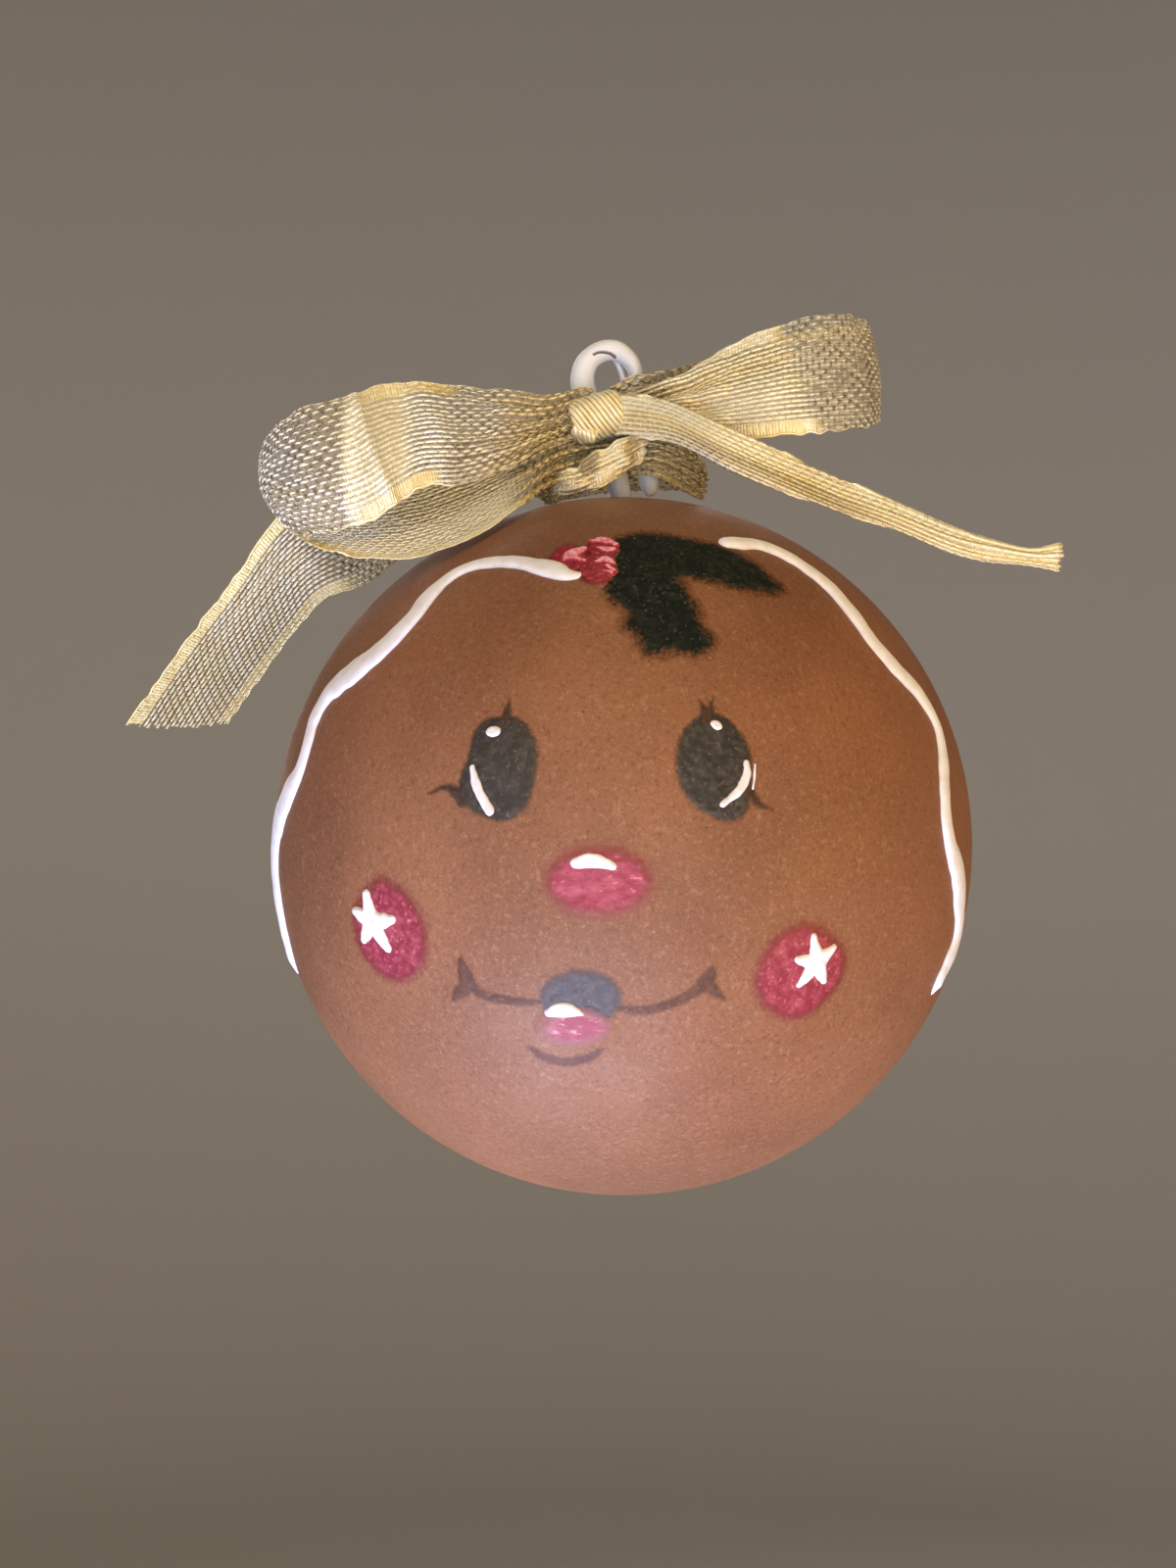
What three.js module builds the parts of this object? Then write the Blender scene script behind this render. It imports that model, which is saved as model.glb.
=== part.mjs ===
// Gingerbread ornament: a painted hollow ball that hangs from a moulded hook, with a ribbon bow
// tied round the hook. Millimetres, +Z up. The origin is the inside top of the hook, where a
// hanging loop or twig bears. The painted face looks along -Y, and +X is the viewer's right.
import * as THREE from 'three';
import { mergeVertices } from 'three/addons/utils/BufferGeometryUtils.js';

// Ball
const BALL_DIAMETER = 70;
const BALL_WALL = 1.2;

// Hook, with the stem and plug that hold it in the ball
const HOOK_RISE = 14.3;
const HOOK_OFFSET = 1;
const HOOK_SPAN = 5.6;
const HOOK_THICKNESS = 2.2;
const HOOK_DEPTH = 2.3;
const STEM_DIAMETER = 2.3;
const PLUG_DIAMETER = 4;
const PLUG_LENGTH = 5;
const PLUG_SHOULDER = 0.8;

// Ribbon
const RIBBON_WIDTH = 12;
const RIBBON_THICKNESS = 0.4;
const KNOT_LENGTH = 5.3;
const KNOT_HEIGHT = 4.8;
const KNOT_DEPTH = 4.2;
const KNOT_SIDE = 1.5;
const WRAP_THICKNESS = 1.6;
const WRAP_BULGE = 1.8;
const WRAP_ROUNDING = 0.7;

// Paint
const PAINT_RELIEF = 0.25;
const ICING_RELIEF = 0.5;
const ICING_WIDTH = 2.1;
const LEAF_WIDTH = 6;
const BERRY_WIDTH = 3;
const BERRY_HEIGHT = 2.4;
const EYE_WIDTH = 6.9;
const EYE_HEIGHT = 9.4;
const EYE_LIGHT_WIDTH = 1.5;
const EYE_LIGHT_HEIGHT = 1;
const LASH_WIDTH = 1.1;
const LASH_LENGTH = 1.5;
const SIDE_LASH_LENGTH = 2.7;
const NOSE_WIDTH = 8.8;
const NOSE_HEIGHT = 5.2;
const CHEEK_WIDTH = 8.7;
const CHEEK_HEIGHT = 9.4;
const STAR_REACH = 2.5;
const STAR_WAIST = 0.75;
const MOUTH_WIDTH = 6.9;
const MOUTH_HEIGHT = 3.9;
const LIP_WIDTH = 6.2;
const LIP_HEIGHT = 2.5;
const LINE_WIDTH = 0.75;

// Clearances
const SEAT_GAP = 0.3;
const PAINT_GAP = 0.15;

// Colours
const BROWN = 0x8a5636;
const WHITE = 0xf1e8e4;
const PLASTIC = 0xefe9ea;
const CHARCOAL = 0x35302f;
const CRIMSON = 0xa02548;
const GREEN = 0x1e2b22;
const MOUTH_BLUE = 0x3c3c44;
const SOFT_BROWN = 0x5e3a28;
const GOLD = 0xd8c48a;

const BALL_RADIUS = BALL_DIAMETER / 2;
const BALL_CENTRE = new THREE.Vector3(HOOK_OFFSET, 0, -HOOK_RISE - BALL_RADIUS);
const HOLE_RADIUS = STEM_DIAMETER / 2 + SEAT_GAP;

const ornament = new THREE.Group();

function paintOf(colour, roughness = 0.7) {
  return new THREE.MeshStandardMaterial({ color: colour, roughness, metalness: 0 });
}

// Adds one closed body. Faces that came out pointing inwards are turned round.
function addSolid(name, positions, triangles, material) {
  const corner = (index) => new THREE.Vector3(...positions[index]);
  let volume = 0;
  for (const [a, b, c] of triangles) {
    volume += corner(a).dot(corner(b).cross(corner(c)));
  }
  const outward = volume > 0 ? triangles : triangles.map(([a, b, c]) => [a, c, b]);
  const geometry = new THREE.BufferGeometry();
  geometry.setAttribute('position', new THREE.Float32BufferAttribute(positions.flat(), 3));
  geometry.setIndex(outward.flat());
  geometry.computeVertexNormals();
  const mesh = new THREE.Mesh(geometry, material);
  mesh.name = name;
  ornament.add(mesh);
}

// Adds a geometry whose seams are still open, such as a lathe or an extrusion.
function addGeometry(name, geometry, material) {
  geometry.deleteAttribute('normal');
  geometry.deleteAttribute('uv');
  const welded = mergeVertices(geometry);
  const place = welded.getAttribute('position');
  const positions = [];
  for (let i = 0; i < place.count; i += 1) {
    positions.push([place.getX(i), place.getY(i), place.getZ(i)]);
  }
  const index = welded.getIndex().array;
  const triangles = [];
  for (let i = 0; i < index.length; i += 3) {
    const [a, b, c] = [index[i], index[i + 1], index[i + 2]];
    if (a !== b && b !== c && c !== a) {
      triangles.push([a, b, c]);
    }
  }
  addSolid(name, positions, triangles, material);
}

// Joins rings of equal length into a tube with flat ends.
function addTube(name, rings, material) {
  const count = rings[0].length;
  const positions = rings.flat();
  const triangles = [];
  for (let ring = 0; ring + 1 < rings.length; ring += 1) {
    for (let side = 0; side < count; side += 1) {
      const next = (side + 1) % count;
      const [a, b] = [ring * count + side, ring * count + next];
      triangles.push([a, b, b + count], [a, b + count, a + count]);
    }
  }
  const last = (rings.length - 1) * count;
  for (let side = 1; side + 1 < count; side += 1) {
    triangles.push([0, side + 1, side], [last, last + side, last + side + 1]);
  }
  addSolid(name, positions, triangles, material);
}

// Ball: an open shell of revolution, with the hole for the plug at its top.
function addBall() {
  const innerRadius = BALL_RADIUS - BALL_WALL;
  const wallPoints = (radius, count) => {
    const top = Math.acos(HOLE_RADIUS / radius);
    return Array.from({ length: count + 1 }, (_, i) => {
      const angle = -Math.PI / 2 + ((top + Math.PI / 2) * i) / count;
      const across = i === 0 ? 0 : radius * Math.cos(angle);
      return new THREE.Vector2(across, radius * Math.sin(angle));
    });
  };
  const profile = [...wallPoints(BALL_RADIUS, 22), ...wallPoints(innerRadius, 12).reverse()];
  const shell = new THREE.LatheGeometry(profile, 44);
  shell.rotateX(Math.PI / 2);
  shell.translate(...BALL_CENTRE.toArray());
  addGeometry('ball_shell', shell, paintOf(BROWN));
}

// Hook: its middle line as shares of the span to the right, and of the way down from the top of
// the hook's middle line to the ball, then its thickness as a share of the hook's thickness.
const hookShares = [
  [0.1, 0.86, 1.05],
  [-0.1, 0.63, 1.1],
  [-0.31, 0.45, 1.15],
  [-0.49, 0.29, 1.18],
  [-0.54, 0.19, 1.18],
  [-0.49, 0.1, 1.12],
  [-0.36, 0.04, 1.02],
  [-0.15, 0, 1],
  [0.08, 0, 0.98],
  [0.29, 0.05, 0.85],
  [0.43, 0.13, 0.7],
  [0.47, 0.24, 0.68],
  [0.53, 0.43, 0.75],
  [0.6, 0.63, 0.95],
  [0.65, 0.79, 1.15],
  [0.69, 0.9, 0.95],
];
const HOOK_STEPS = 40;
const HOOK_SIDES = 12;
const HOOK_TIP_SHARE = 0.45;

function hookSections() {
  const drop = HOOK_RISE + HOOK_THICKNESS / 2;
  const foot = [new THREE.Vector3(HOOK_OFFSET, 0, -HOOK_RISE)];
  const middle = hookShares.map(([across, down]) => (
    new THREE.Vector3(across * HOOK_SPAN, 0, HOOK_THICKNESS / 2 - down * drop)));
  const route = new THREE.CatmullRomCurve3([...foot, ...middle]);
  const thickness = [STEM_DIAMETER, ...hookShares.map(([, , share]) => share * HOOK_THICKNESS)];
  const sections = [];
  for (let step = 0; step <= HOOK_STEPS; step += 1) {
    const along = step / HOOK_STEPS;
    const place = along * (thickness.length - 1);
    const before = Math.min(Math.floor(place), thickness.length - 2);
    const half = THREE.MathUtils.lerp(thickness[before], thickness[before + 1], place - before) / 2;
    const [at, heading] = [route.getPoint(along), route.getTangent(along)];
    sections.push({ at, heading, half, depth: HOOK_DEPTH / 2 });
  }
  return sections;
}

function addHook(sections) {
  const down = new THREE.Vector3(0, 0, 1);
  const level = (height, half) => (
    { at: new THREE.Vector3(HOOK_OFFSET, 0, height), heading: down, half, depth: half });
  const underWall = -HOOK_RISE - BALL_WALL - SEAT_GAP;
  const plug = [
    level(underWall - PLUG_LENGTH, STEM_DIAMETER / 4),
    level(underWall - PLUG_SHOULDER, PLUG_DIAMETER / 2),
    level(underWall - SEAT_GAP, PLUG_DIAMETER / 2),
    level(underWall, STEM_DIAMETER / 2),
  ];
  const last = sections[sections.length - 1];
  const tip = {
    at: last.at.clone().addScaledVector(last.heading, last.half),
    heading: last.heading,
    half: last.half * HOOK_TIP_SHARE,
    depth: last.depth * HOOK_TIP_SHARE,
  };
  const rings = [...plug, ...sections, tip].map(({ at, heading, half, depth }) => {
    const side = new THREE.Vector3(heading.z, 0, -heading.x).normalize();
    return Array.from({ length: HOOK_SIDES }, (_, i) => {
      const angle = (2 * Math.PI * i) / HOOK_SIDES;
      const point = at.clone().addScaledVector(side, half * Math.cos(angle));
      point.y += depth * Math.sin(angle);
      return point.toArray();
    });
  });
  addTube('hanger_hook', rings, paintOf(PLASTIC, 0.35));
}

// Ribbon. The knot lies against the front of the hook, and every stretch of the bow is laid out
// from the knot's middle.
const KNOT_DROP_SHARE = 0.45;
const KNOT_CENTRE = new THREE.Vector3(
  -KNOT_SIDE,
  -HOOK_DEPTH / 2 - SEAT_GAP - KNOT_DEPTH / 2,
  -KNOT_DROP_SHARE * HOOK_RISE,
);
const KNOT_TILT = THREE.MathUtils.degToRad(-17);
const KNOT_END_SHARE = 0.72;

function clothOf() {
  return new THREE.MeshStandardMaterial({ color: GOLD, roughness: 0.45, metalness: 0.35 });
}

// Each row across the ribbon gives its upper edge, its middle and its lower edge, as shares of
// the ribbon's width to the right of, behind and above the knot's middle.
const loopLeftShares = [
  [[-0.25, 0.03, 0.15], [-0.25, -0.02, 0.01], [-0.25, 0.01, -0.11]],
  [[-0.44, -0.05, 0.14], [-0.43, -0.2, -0.08], [-0.44, -0.19, -0.27]],
  [[-0.77, -0.15, 0.17], [-0.76, -0.39, -0.17], [-0.73, -0.44, -0.5]],
  [[-1.19, -0.2, 0.22], [-1.14, -0.52, -0.22], [-1.1, -0.62, -0.66]],
  [[-1.67, -0.29, 0.21], [-1.54, -0.6, -0.25], [-1.42, -0.75, -0.71]],
  [[-2.03, -0.58, 0.02], [-1.89, -0.83, -0.5], [-1.74, -0.83, -0.96]],
  [[-2.39, -0.66, -0.14], [-2.25, -0.87, -0.63], [-2.04, -0.87, -1.07]],
  [[-2.67, -0.5, -0.34], [-2.68, -0.62, -0.71], [-2.3, -0.89, -1.11]],
  [[-2.76, -0.2, -0.49], [-2.65, -0.45, -0.87], [-2.24, -0.92, -1.2]],
  [[-2.52, -0.1, -0.62], [-2.3, -0.54, -1], [-1.97, -0.97, -1.26]],
  [[-2.06, -0.16, -0.69], [-1.87, -0.6, -1.06], [-1.64, -1, -1.32]],
  [[-1.6, -0.2, -0.66], [-1.46, -0.62, -1.02], [-1.33, -1, -1.28]],
  [[-1.13, -0.19, -0.54], [-1.03, -0.54, -0.88], [-0.94, -0.94, -1.11]],
  [[-0.65, -0.09, -0.38], [-0.61, -0.37, -0.64], [-0.58, -0.66, -0.82]],
  [[-0.39, 0.05, -0.29], [-0.39, -0.12, -0.45], [-0.39, -0.12, -0.59]],
];
const loopRightShares = [
  [[0.26, 0.08, 0.16], [0.26, 0.03, 0.05], [0.26, 0.06, -0.07]],
  [[0.48, 0.01, 0.26], [0.47, -0.07, 0.07], [0.49, -0.05, -0.13]],
  [[0.75, -0.07, 0.39], [0.76, -0.2, 0.1], [0.79, -0.2, -0.2]],
  [[1.1, -0.15, 0.55], [1.1, -0.34, 0.15], [1.13, -0.35, -0.25]],
  [[1.47, -0.2, 0.7], [1.46, -0.45, 0.21], [1.49, -0.5, -0.25]],
  [[1.86, -0.2, 0.78], [1.84, -0.45, 0.26], [1.86, -0.52, -0.22]],
  [[2.13, -0.09, 0.8], [2.17, -0.29, 0.31], [2.18, -0.34, -0.15]],
  [[2.3, 0.11, 0.78], [2.35, 0, 0.34], [2.35, -0.05, -0.05]],
  [[2.19, 0.3, 0.83], [2.28, 0.25, 0.38], [2.28, 0.21, -0.04]],
  [[1.89, 0.36, 0.84], [1.95, 0.36, 0.41], [1.95, 0.35, -0.04]],
  [[1.52, 0.4, 0.75], [1.56, 0.43, 0.39], [1.57, 0.43, -0.04]],
  [[1.1, 0.41, 0.61], [1.12, 0.46, 0.3], [1.14, 0.48, -0.03]],
  [[0.76, 0.4, 0.4], [0.78, 0.45, 0.21], [0.8, 0.46, -0.02]],
  [[0.47, 0.36, 0.23], [0.48, 0.4, 0.13], [0.48, 0.4, 0.01]],
];
const tailLeftShares = [
  [[-0.3, 0.23, 0], [-0.3, 0.26, -0.08], [-0.3, 0.23, -0.17]],
  [[-0.58, 0.31, -0.02], [-0.58, 0.38, -0.18], [-0.58, 0.36, -0.34]],
  [[-0.96, 0.33, -0.05], [-0.96, 0.43, -0.28], [-0.92, 0.43, -0.58]],
  [[-1.42, 0.35, -0.15], [-1.39, 0.46, -0.44], [-1.31, 0.5, -0.79]],
  [[-1.88, 0.33, -0.3], [-1.81, 0.48, -0.65], [-1.71, 0.58, -1.09]],
  [[-2.38, 0.35, -0.51], [-2.25, 0.6, -0.89], [-2.04, 0.75, -1.32]],
  [[-2.79, 0.51, -0.81], [-2.64, 0.75, -1.13], [-2.4, 0.98, -1.39]],
  [[-3.16, 0.66, -1.27], [-2.97, 0.91, -1.5], [-2.73, 1.3, -1.65]],
  [[-3.62, 0.8, -1.81], [-3.41, 1.11, -2.02], [-3.12, 1.46, -2.13]],
  [[-4.16, 0.93, -2.52], [-3.79, 1.25, -2.55], [-3.38, 1.6, -2.55]],
];
const tailRightShares = [
  [[0.25, -0.09, 0.16], [0.26, -0.15, -0.02], [0.25, -0.1, -0.17]],
  [[0.6, -0.27, 0.07], [0.59, -0.41, -0.13], [0.64, -0.34, -0.28]],
  [[1, -0.55, -0.17], [0.99, -0.68, -0.37], [1.06, -0.6, -0.55]],
  [[1.44, -0.55, -0.37], [1.45, -0.68, -0.59], [1.5, -0.6, -0.72]],
  [[1.92, -0.4, -0.57], [1.92, -0.5, -0.75], [1.95, -0.44, -0.85]],
  [[2.43, -0.21, -0.75], [2.43, -0.29, -0.89], [2.45, -0.24, -0.98]],
  [[3.01, -0.04, -0.95], [3.01, -0.1, -1.08], [3.03, -0.07, -1.17]],
  [[3.58, 0.08, -1.09], [3.59, 0.05, -1.16], [3.6, 0.06, -1.22]],
  [[3.91, 0.15, -1.04], [3.89, 0.11, -1.16], [3.88, 0.13, -1.27]],
];

// A stretch that would dip into the ball lies on it instead.
function restOnBall(point) {
  const out = point.clone().sub(BALL_CENTRE);
  const reach = BALL_RADIUS + SEAT_GAP;
  return out.length() < reach ? out.setLength(reach).add(BALL_CENTRE) : point;
}

// A ribbon is a thin band lofted through its rows.
function addBand(name, rowShares, stepsPerRow, material) {
  const acrossCount = 6;
  const place = (share) => new THREE.Vector3(...share).multiplyScalar(RIBBON_WIDTH).add(KNOT_CENTRE);
  const edges = [0, 1, 2].map((which) => (
    new THREE.CatmullRomCurve3(rowShares.map((row) => place(row[which])))));
  const surface = (along, across) => {
    const [upper, middle, lower] = edges.map((edge) => edge.getPoint(along));
    const point = upper.multiplyScalar((1 - across) * (1 - 2 * across));
    point.addScaledVector(middle, 4 * across * (1 - across));
    return point.addScaledVector(lower, across * (2 * across - 1));
  };
  const steps = (rowShares.length - 1) * stepsPerRow;
  const nudge = 0.5 / steps;
  const faces = [[], []];
  for (let step = 0; step <= steps; step += 1) {
    for (let side = 0; side <= acrossCount; side += 1) {
      const along = step / steps;
      const across = side / acrossCount;
      const ahead = surface(Math.min(along + nudge, 1), across);
      const behind = surface(Math.max(along - nudge, 0), across);
      const lower = surface(along, Math.min(across + nudge, 1));
      const upper = surface(along, Math.max(across - nudge, 0));
      const normal = ahead.sub(behind).cross(lower.sub(upper)).normalize();
      const point = surface(along, across);
      for (const [which, sign] of [[0, 1], [1, -1]]) {
        const skin = point.clone().addScaledVector(normal, (sign * RIBBON_THICKNESS) / 2);
        faces[which].push(restOnBall(skin).toArray());
      }
    }
  }
  const row = acrossCount + 1;
  const shift = faces[0].length;
  const triangles = [];
  const quad = (a, b, c, d) => triangles.push([a, b, c], [a, c, d]);
  for (let step = 0; step < steps; step += 1) {
    for (let side = 0; side < acrossCount; side += 1) {
      const a = step * row + side;
      quad(a, a + 1, a + row + 1, a + row);
      quad(shift + a, shift + a + row, shift + a + row + 1, shift + a + 1);
    }
    const [first, end] = [step * row, step * row + acrossCount];
    quad(first, first + row, shift + first + row, shift + first);
    quad(end, shift + end, shift + end + row, end + row);
  }
  const start = steps * row;
  for (let side = 0; side < acrossCount; side += 1) {
    quad(side, shift + side, shift + side + 1, side + 1);
    quad(start + side, start + side + 1, shift + start + side + 1, shift + start + side);
  }
  addSolid(name, [...faces[0], ...faces[1]], triangles, material);
}

// Knot: a barrel of ribbon round the strands that come out at its two ends.
function addKnot() {
  const profileCount = 8;
  const profile = [new THREE.Vector2(0, -KNOT_LENGTH / 2)];
  for (let i = 0; i <= profileCount; i += 1) {
    const along = -1 + (2 * i) / profileCount;
    const swell = KNOT_END_SHARE + (1 - KNOT_END_SHARE) * Math.sqrt(1 - along ** 4);
    profile.push(new THREE.Vector2((swell * KNOT_HEIGHT) / 2, (along * KNOT_LENGTH) / 2));
  }
  profile.push(new THREE.Vector2(0, KNOT_LENGTH / 2));
  const barrel = new THREE.LatheGeometry(profile, 18);
  barrel.rotateZ(-Math.PI / 2);
  barrel.scale(1, KNOT_DEPTH / KNOT_HEIGHT, 1);
  barrel.rotateY(KNOT_TILT);
  barrel.translate(...KNOT_CENTRE.toArray());
  addGeometry('ribbon_knot', barrel, clothOf());
}

// Wrap: the turns round both legs of the hook, between the knot and the ball.
function addWrap(sections) {
  const top = KNOT_CENTRE.z - KNOT_HEIGHT / 2 - SEAT_GAP;
  const bottom = -HOOK_RISE + SEAT_GAP;
  const legs = sections.filter(({ at }) => at.z < top + HOOK_THICKNESS);
  const left = Math.min(...legs.map(({ at }) => at.x));
  const right = Math.max(...legs.map(({ at }) => at.x));
  const thickest = Math.max(...legs.map(({ half, depth }) => Math.max(half, depth)));
  const inside = thickest + SEAT_GAP;
  const outside = inside + WRAP_THICKNESS - WRAP_ROUNDING;
  const oval = (path, radius, bulge) => {
    path.absarc(right + bulge, 0, radius, -Math.PI / 2, Math.PI / 2, false);
    path.absarc(left - bulge, 0, radius, Math.PI / 2, (3 * Math.PI) / 2, false);
    path.closePath();
    return path;
  };
  const outline = oval(new THREE.Shape(), outside, WRAP_BULGE);
  outline.holes.push(oval(new THREE.Path(), inside + WRAP_ROUNDING, 0));
  const band = new THREE.ExtrudeGeometry(outline, {
    depth: top - bottom - 2 * WRAP_ROUNDING,
    curveSegments: 7,
    bevelThickness: WRAP_ROUNDING,
    bevelSize: WRAP_ROUNDING,
    bevelSegments: 2,
  });
  band.translate(0, 0, bottom + WRAP_ROUNDING);
  addGeometry('ribbon_wrap', band, clothOf());
}

// Places on the ball are given in degrees: how far to the right of the face's middle and how far
// above the ball's equator. From such a place, a dab or stroke is laid out along the surface.
const QUARTER_TURN = 90;

function direction(right, up) {
  const [turn, lift] = [THREE.MathUtils.degToRad(right), THREE.MathUtils.degToRad(up)];
  return new THREE.Vector3(
    Math.sin(turn) * Math.cos(lift),
    -Math.cos(turn) * Math.cos(lift),
    Math.sin(lift),
  );
}

function directionFrom([right, up], across, above) {
  const reach = Math.hypot(across, above);
  const middle = direction(right, up);
  if (reach === 0) {
    return middle;
  }
  const east = direction(right + QUARTER_TURN, 0);
  const north = direction(right, up + QUARTER_TURN);
  const away = east.multiplyScalar(across / reach).addScaledVector(north, above / reach);
  const angle = reach / BALL_RADIUS;
  return middle.multiplyScalar(Math.cos(angle)).addScaledVector(away, Math.sin(angle));
}

// The place that lies so far across and above another, measured along the ball.
function placeFrom(place, across, above) {
  const towards = directionFrom(place, across, above);
  return [
    THREE.MathUtils.radToDeg(Math.atan2(towards.x, -towards.y)),
    THREE.MathUtils.radToDeg(Math.asin(towards.z)),
  ];
}

function onBall(towards, height) {
  return BALL_CENTRE.clone().addScaledVector(towards, BALL_RADIUS + height).toArray();
}

// Heights of the paint: dabs lie on the ball, and lights and stars lie on dabs.
const FIRST_COAT = PAINT_GAP;
const SECOND_COAT = FIRST_COAT + PAINT_RELIEF + PAINT_GAP;

// A dab is a low dome whose outline is given by its radius in each direction.
function addDab(name, place, radiusAt, colour, sides, coat = FIRST_COAT) {
  const domeShares = [[0.5, 0.92], [0.85, 0.7], [1, 0.35]];
  const middle = directionFrom(place, 0, 0);
  const positions = [onBall(middle, coat + PAINT_RELIEF), onBall(middle, coat)];
  for (const [reachShare, heightShare] of domeShares) {
    for (const height of [coat + PAINT_RELIEF * heightShare, coat]) {
      for (let side = 0; side < sides; side += 1) {
        const angle = (2 * Math.PI * side) / sides;
        const reach = reachShare * radiusAt(angle);
        const towards = directionFrom(place, reach * Math.cos(angle), reach * Math.sin(angle));
        positions.push(onBall(towards, height));
      }
    }
  }
  const at = (ring, face, side) => 2 + (ring * 2 + face) * sides + (side % sides);
  const triangles = [];
  const outer = domeShares.length - 1;
  for (let side = 0; side < sides; side += 1) {
    triangles.push([0, at(0, 0, side), at(0, 0, side + 1)]);
    triangles.push([1, at(0, 1, side + 1), at(0, 1, side)]);
    for (let ring = 0; ring < outer; ring += 1) {
      triangles.push([at(ring, 0, side), at(ring + 1, 0, side), at(ring + 1, 0, side + 1)]);
      triangles.push([at(ring, 0, side), at(ring + 1, 0, side + 1), at(ring, 0, side + 1)]);
      triangles.push([at(ring, 1, side), at(ring + 1, 1, side + 1), at(ring + 1, 1, side)]);
      triangles.push([at(ring, 1, side), at(ring, 1, side + 1), at(ring + 1, 1, side + 1)]);
    }
    triangles.push([at(outer, 0, side), at(outer, 1, side), at(outer, 1, side + 1)]);
    triangles.push([at(outer, 0, side), at(outer, 1, side + 1), at(outer, 0, side + 1)]);
  }
  addSolid(name, positions, triangles, paintOf(colour));
}

// A stroke follows its route over the ball. Its width at each point of the route is a share of
// the stroke's width.
function addStroke(name, directions, width, widthShares, colour, options = {}) {
  const { relief = PAINT_RELIEF, coat = FIRST_COAT, stepsPerPoint = 3 } = options;
  const sectionShares = [[-1, 0.35], [-0.6, 0.85], [0, 1], [0.6, 0.85], [1, 0.35], [1, 0], [0, 0], [-1, 0]];
  const route = new THREE.CatmullRomCurve3(directions);
  const steps = (directions.length - 1) * stepsPerPoint;
  const rings = [];
  for (let step = 0; step <= steps; step += 1) {
    const along = step / steps;
    const place = along * (widthShares.length - 1);
    const before = Math.min(Math.floor(place), widthShares.length - 2);
    const share = THREE.MathUtils.lerp(widthShares[before], widthShares[before + 1], place - before);
    const middle = route.getPoint(along).normalize();
    const sideways = middle.clone().cross(route.getTangent(along)).normalize();
    rings.push(sectionShares.map(([acrossShare, heightShare]) => {
      const angle = (acrossShare * share * width) / 2 / BALL_RADIUS;
      const towards = middle.clone().multiplyScalar(Math.cos(angle));
      towards.addScaledVector(sideways, Math.sin(angle));
      return onBall(towards, coat + relief * heightShare);
    }));
  }
  addTube(name, rings, paintOf(colour));
}

function ellipse(width, height) {
  return (angle) => 1 / Math.hypot(Math.cos(angle) / (width / 2), Math.sin(angle) / (height / 2));
}

function routeOf(table) {
  return table.map(([right, up]) => direction(right, up));
}

// Icing: the wavy line round the face, from under the berries and beside the leaf down each side.
const ICING_START = [-14, 45];

function addIcing() {
  const leftDegrees = [
    placeFrom(ICING_START, BERRY_WIDTH * 0.65, 0), ICING_START, [-19, 46.6], [-25, 48.1],
    [-31, 48.5], [-36.5, 48], [-41, 45.8], [-43.4, 41.5],
    [-44, 37.5], [-46.8, 33], [-51, 29.4], [-56, 26.8], [-60.3, 24], [-61.8, 20], [-61.4, 16], [-62.3, 12],
    [-65.5, 9], [-69.5, 5.5], [-73, 2], [-74.5, -3], [-74.5, -8], [-74.5, -13], [-75.7, -17.5], [-77, -21],
  ];
  const leftShares = [
    0.5, 0.8, 0.95, 0.76, 0.8, 0.7, 0.78, 1.05, 1.15, 1.25, 1.45, 1.55,
    1.25, 1.05, 0.92, 1, 1.5, 1.8, 1.85, 1.6, 1.5, 1.3, 0.9, 0.2,
  ];
  const rightDegrees = [
    [24, 53.4], [30, 53.6], [36, 53.7], [41.5, 52], [46, 48.4], [48.9, 43.5], [49.6, 38], [50.6, 32.8],
    [54, 28.2], [58.7, 24], [61.2, 19.5], [60.3, 15.5], [58.3, 11], [57, 5.5], [58, 1], [61.5, -3],
    [64.5, -7.2], [67.5, -11.7], [68.3, -15], [66.3, -18.2], [64.4, -21], [63.8, -23.2],
  ];
  const rightShares = [
    0.7, 0.9, 0.86, 0.9, 0.98, 1.12, 1.02, 1.03, 1.1, 0.95, 0.7, 0.78, 0.87, 0.95, 1.1, 1.4,
    1.5, 1.2, 1.45, 1.3, 0.9, 0.15,
  ];
  const options = { relief: ICING_RELIEF, stepsPerPoint: 2 };
  addStroke('icing_left', routeOf(leftDegrees), ICING_WIDTH, leftShares, WHITE, options);
  addStroke('icing_right', routeOf(rightDegrees), ICING_WIDTH, rightShares, WHITE, options);
}

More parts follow.
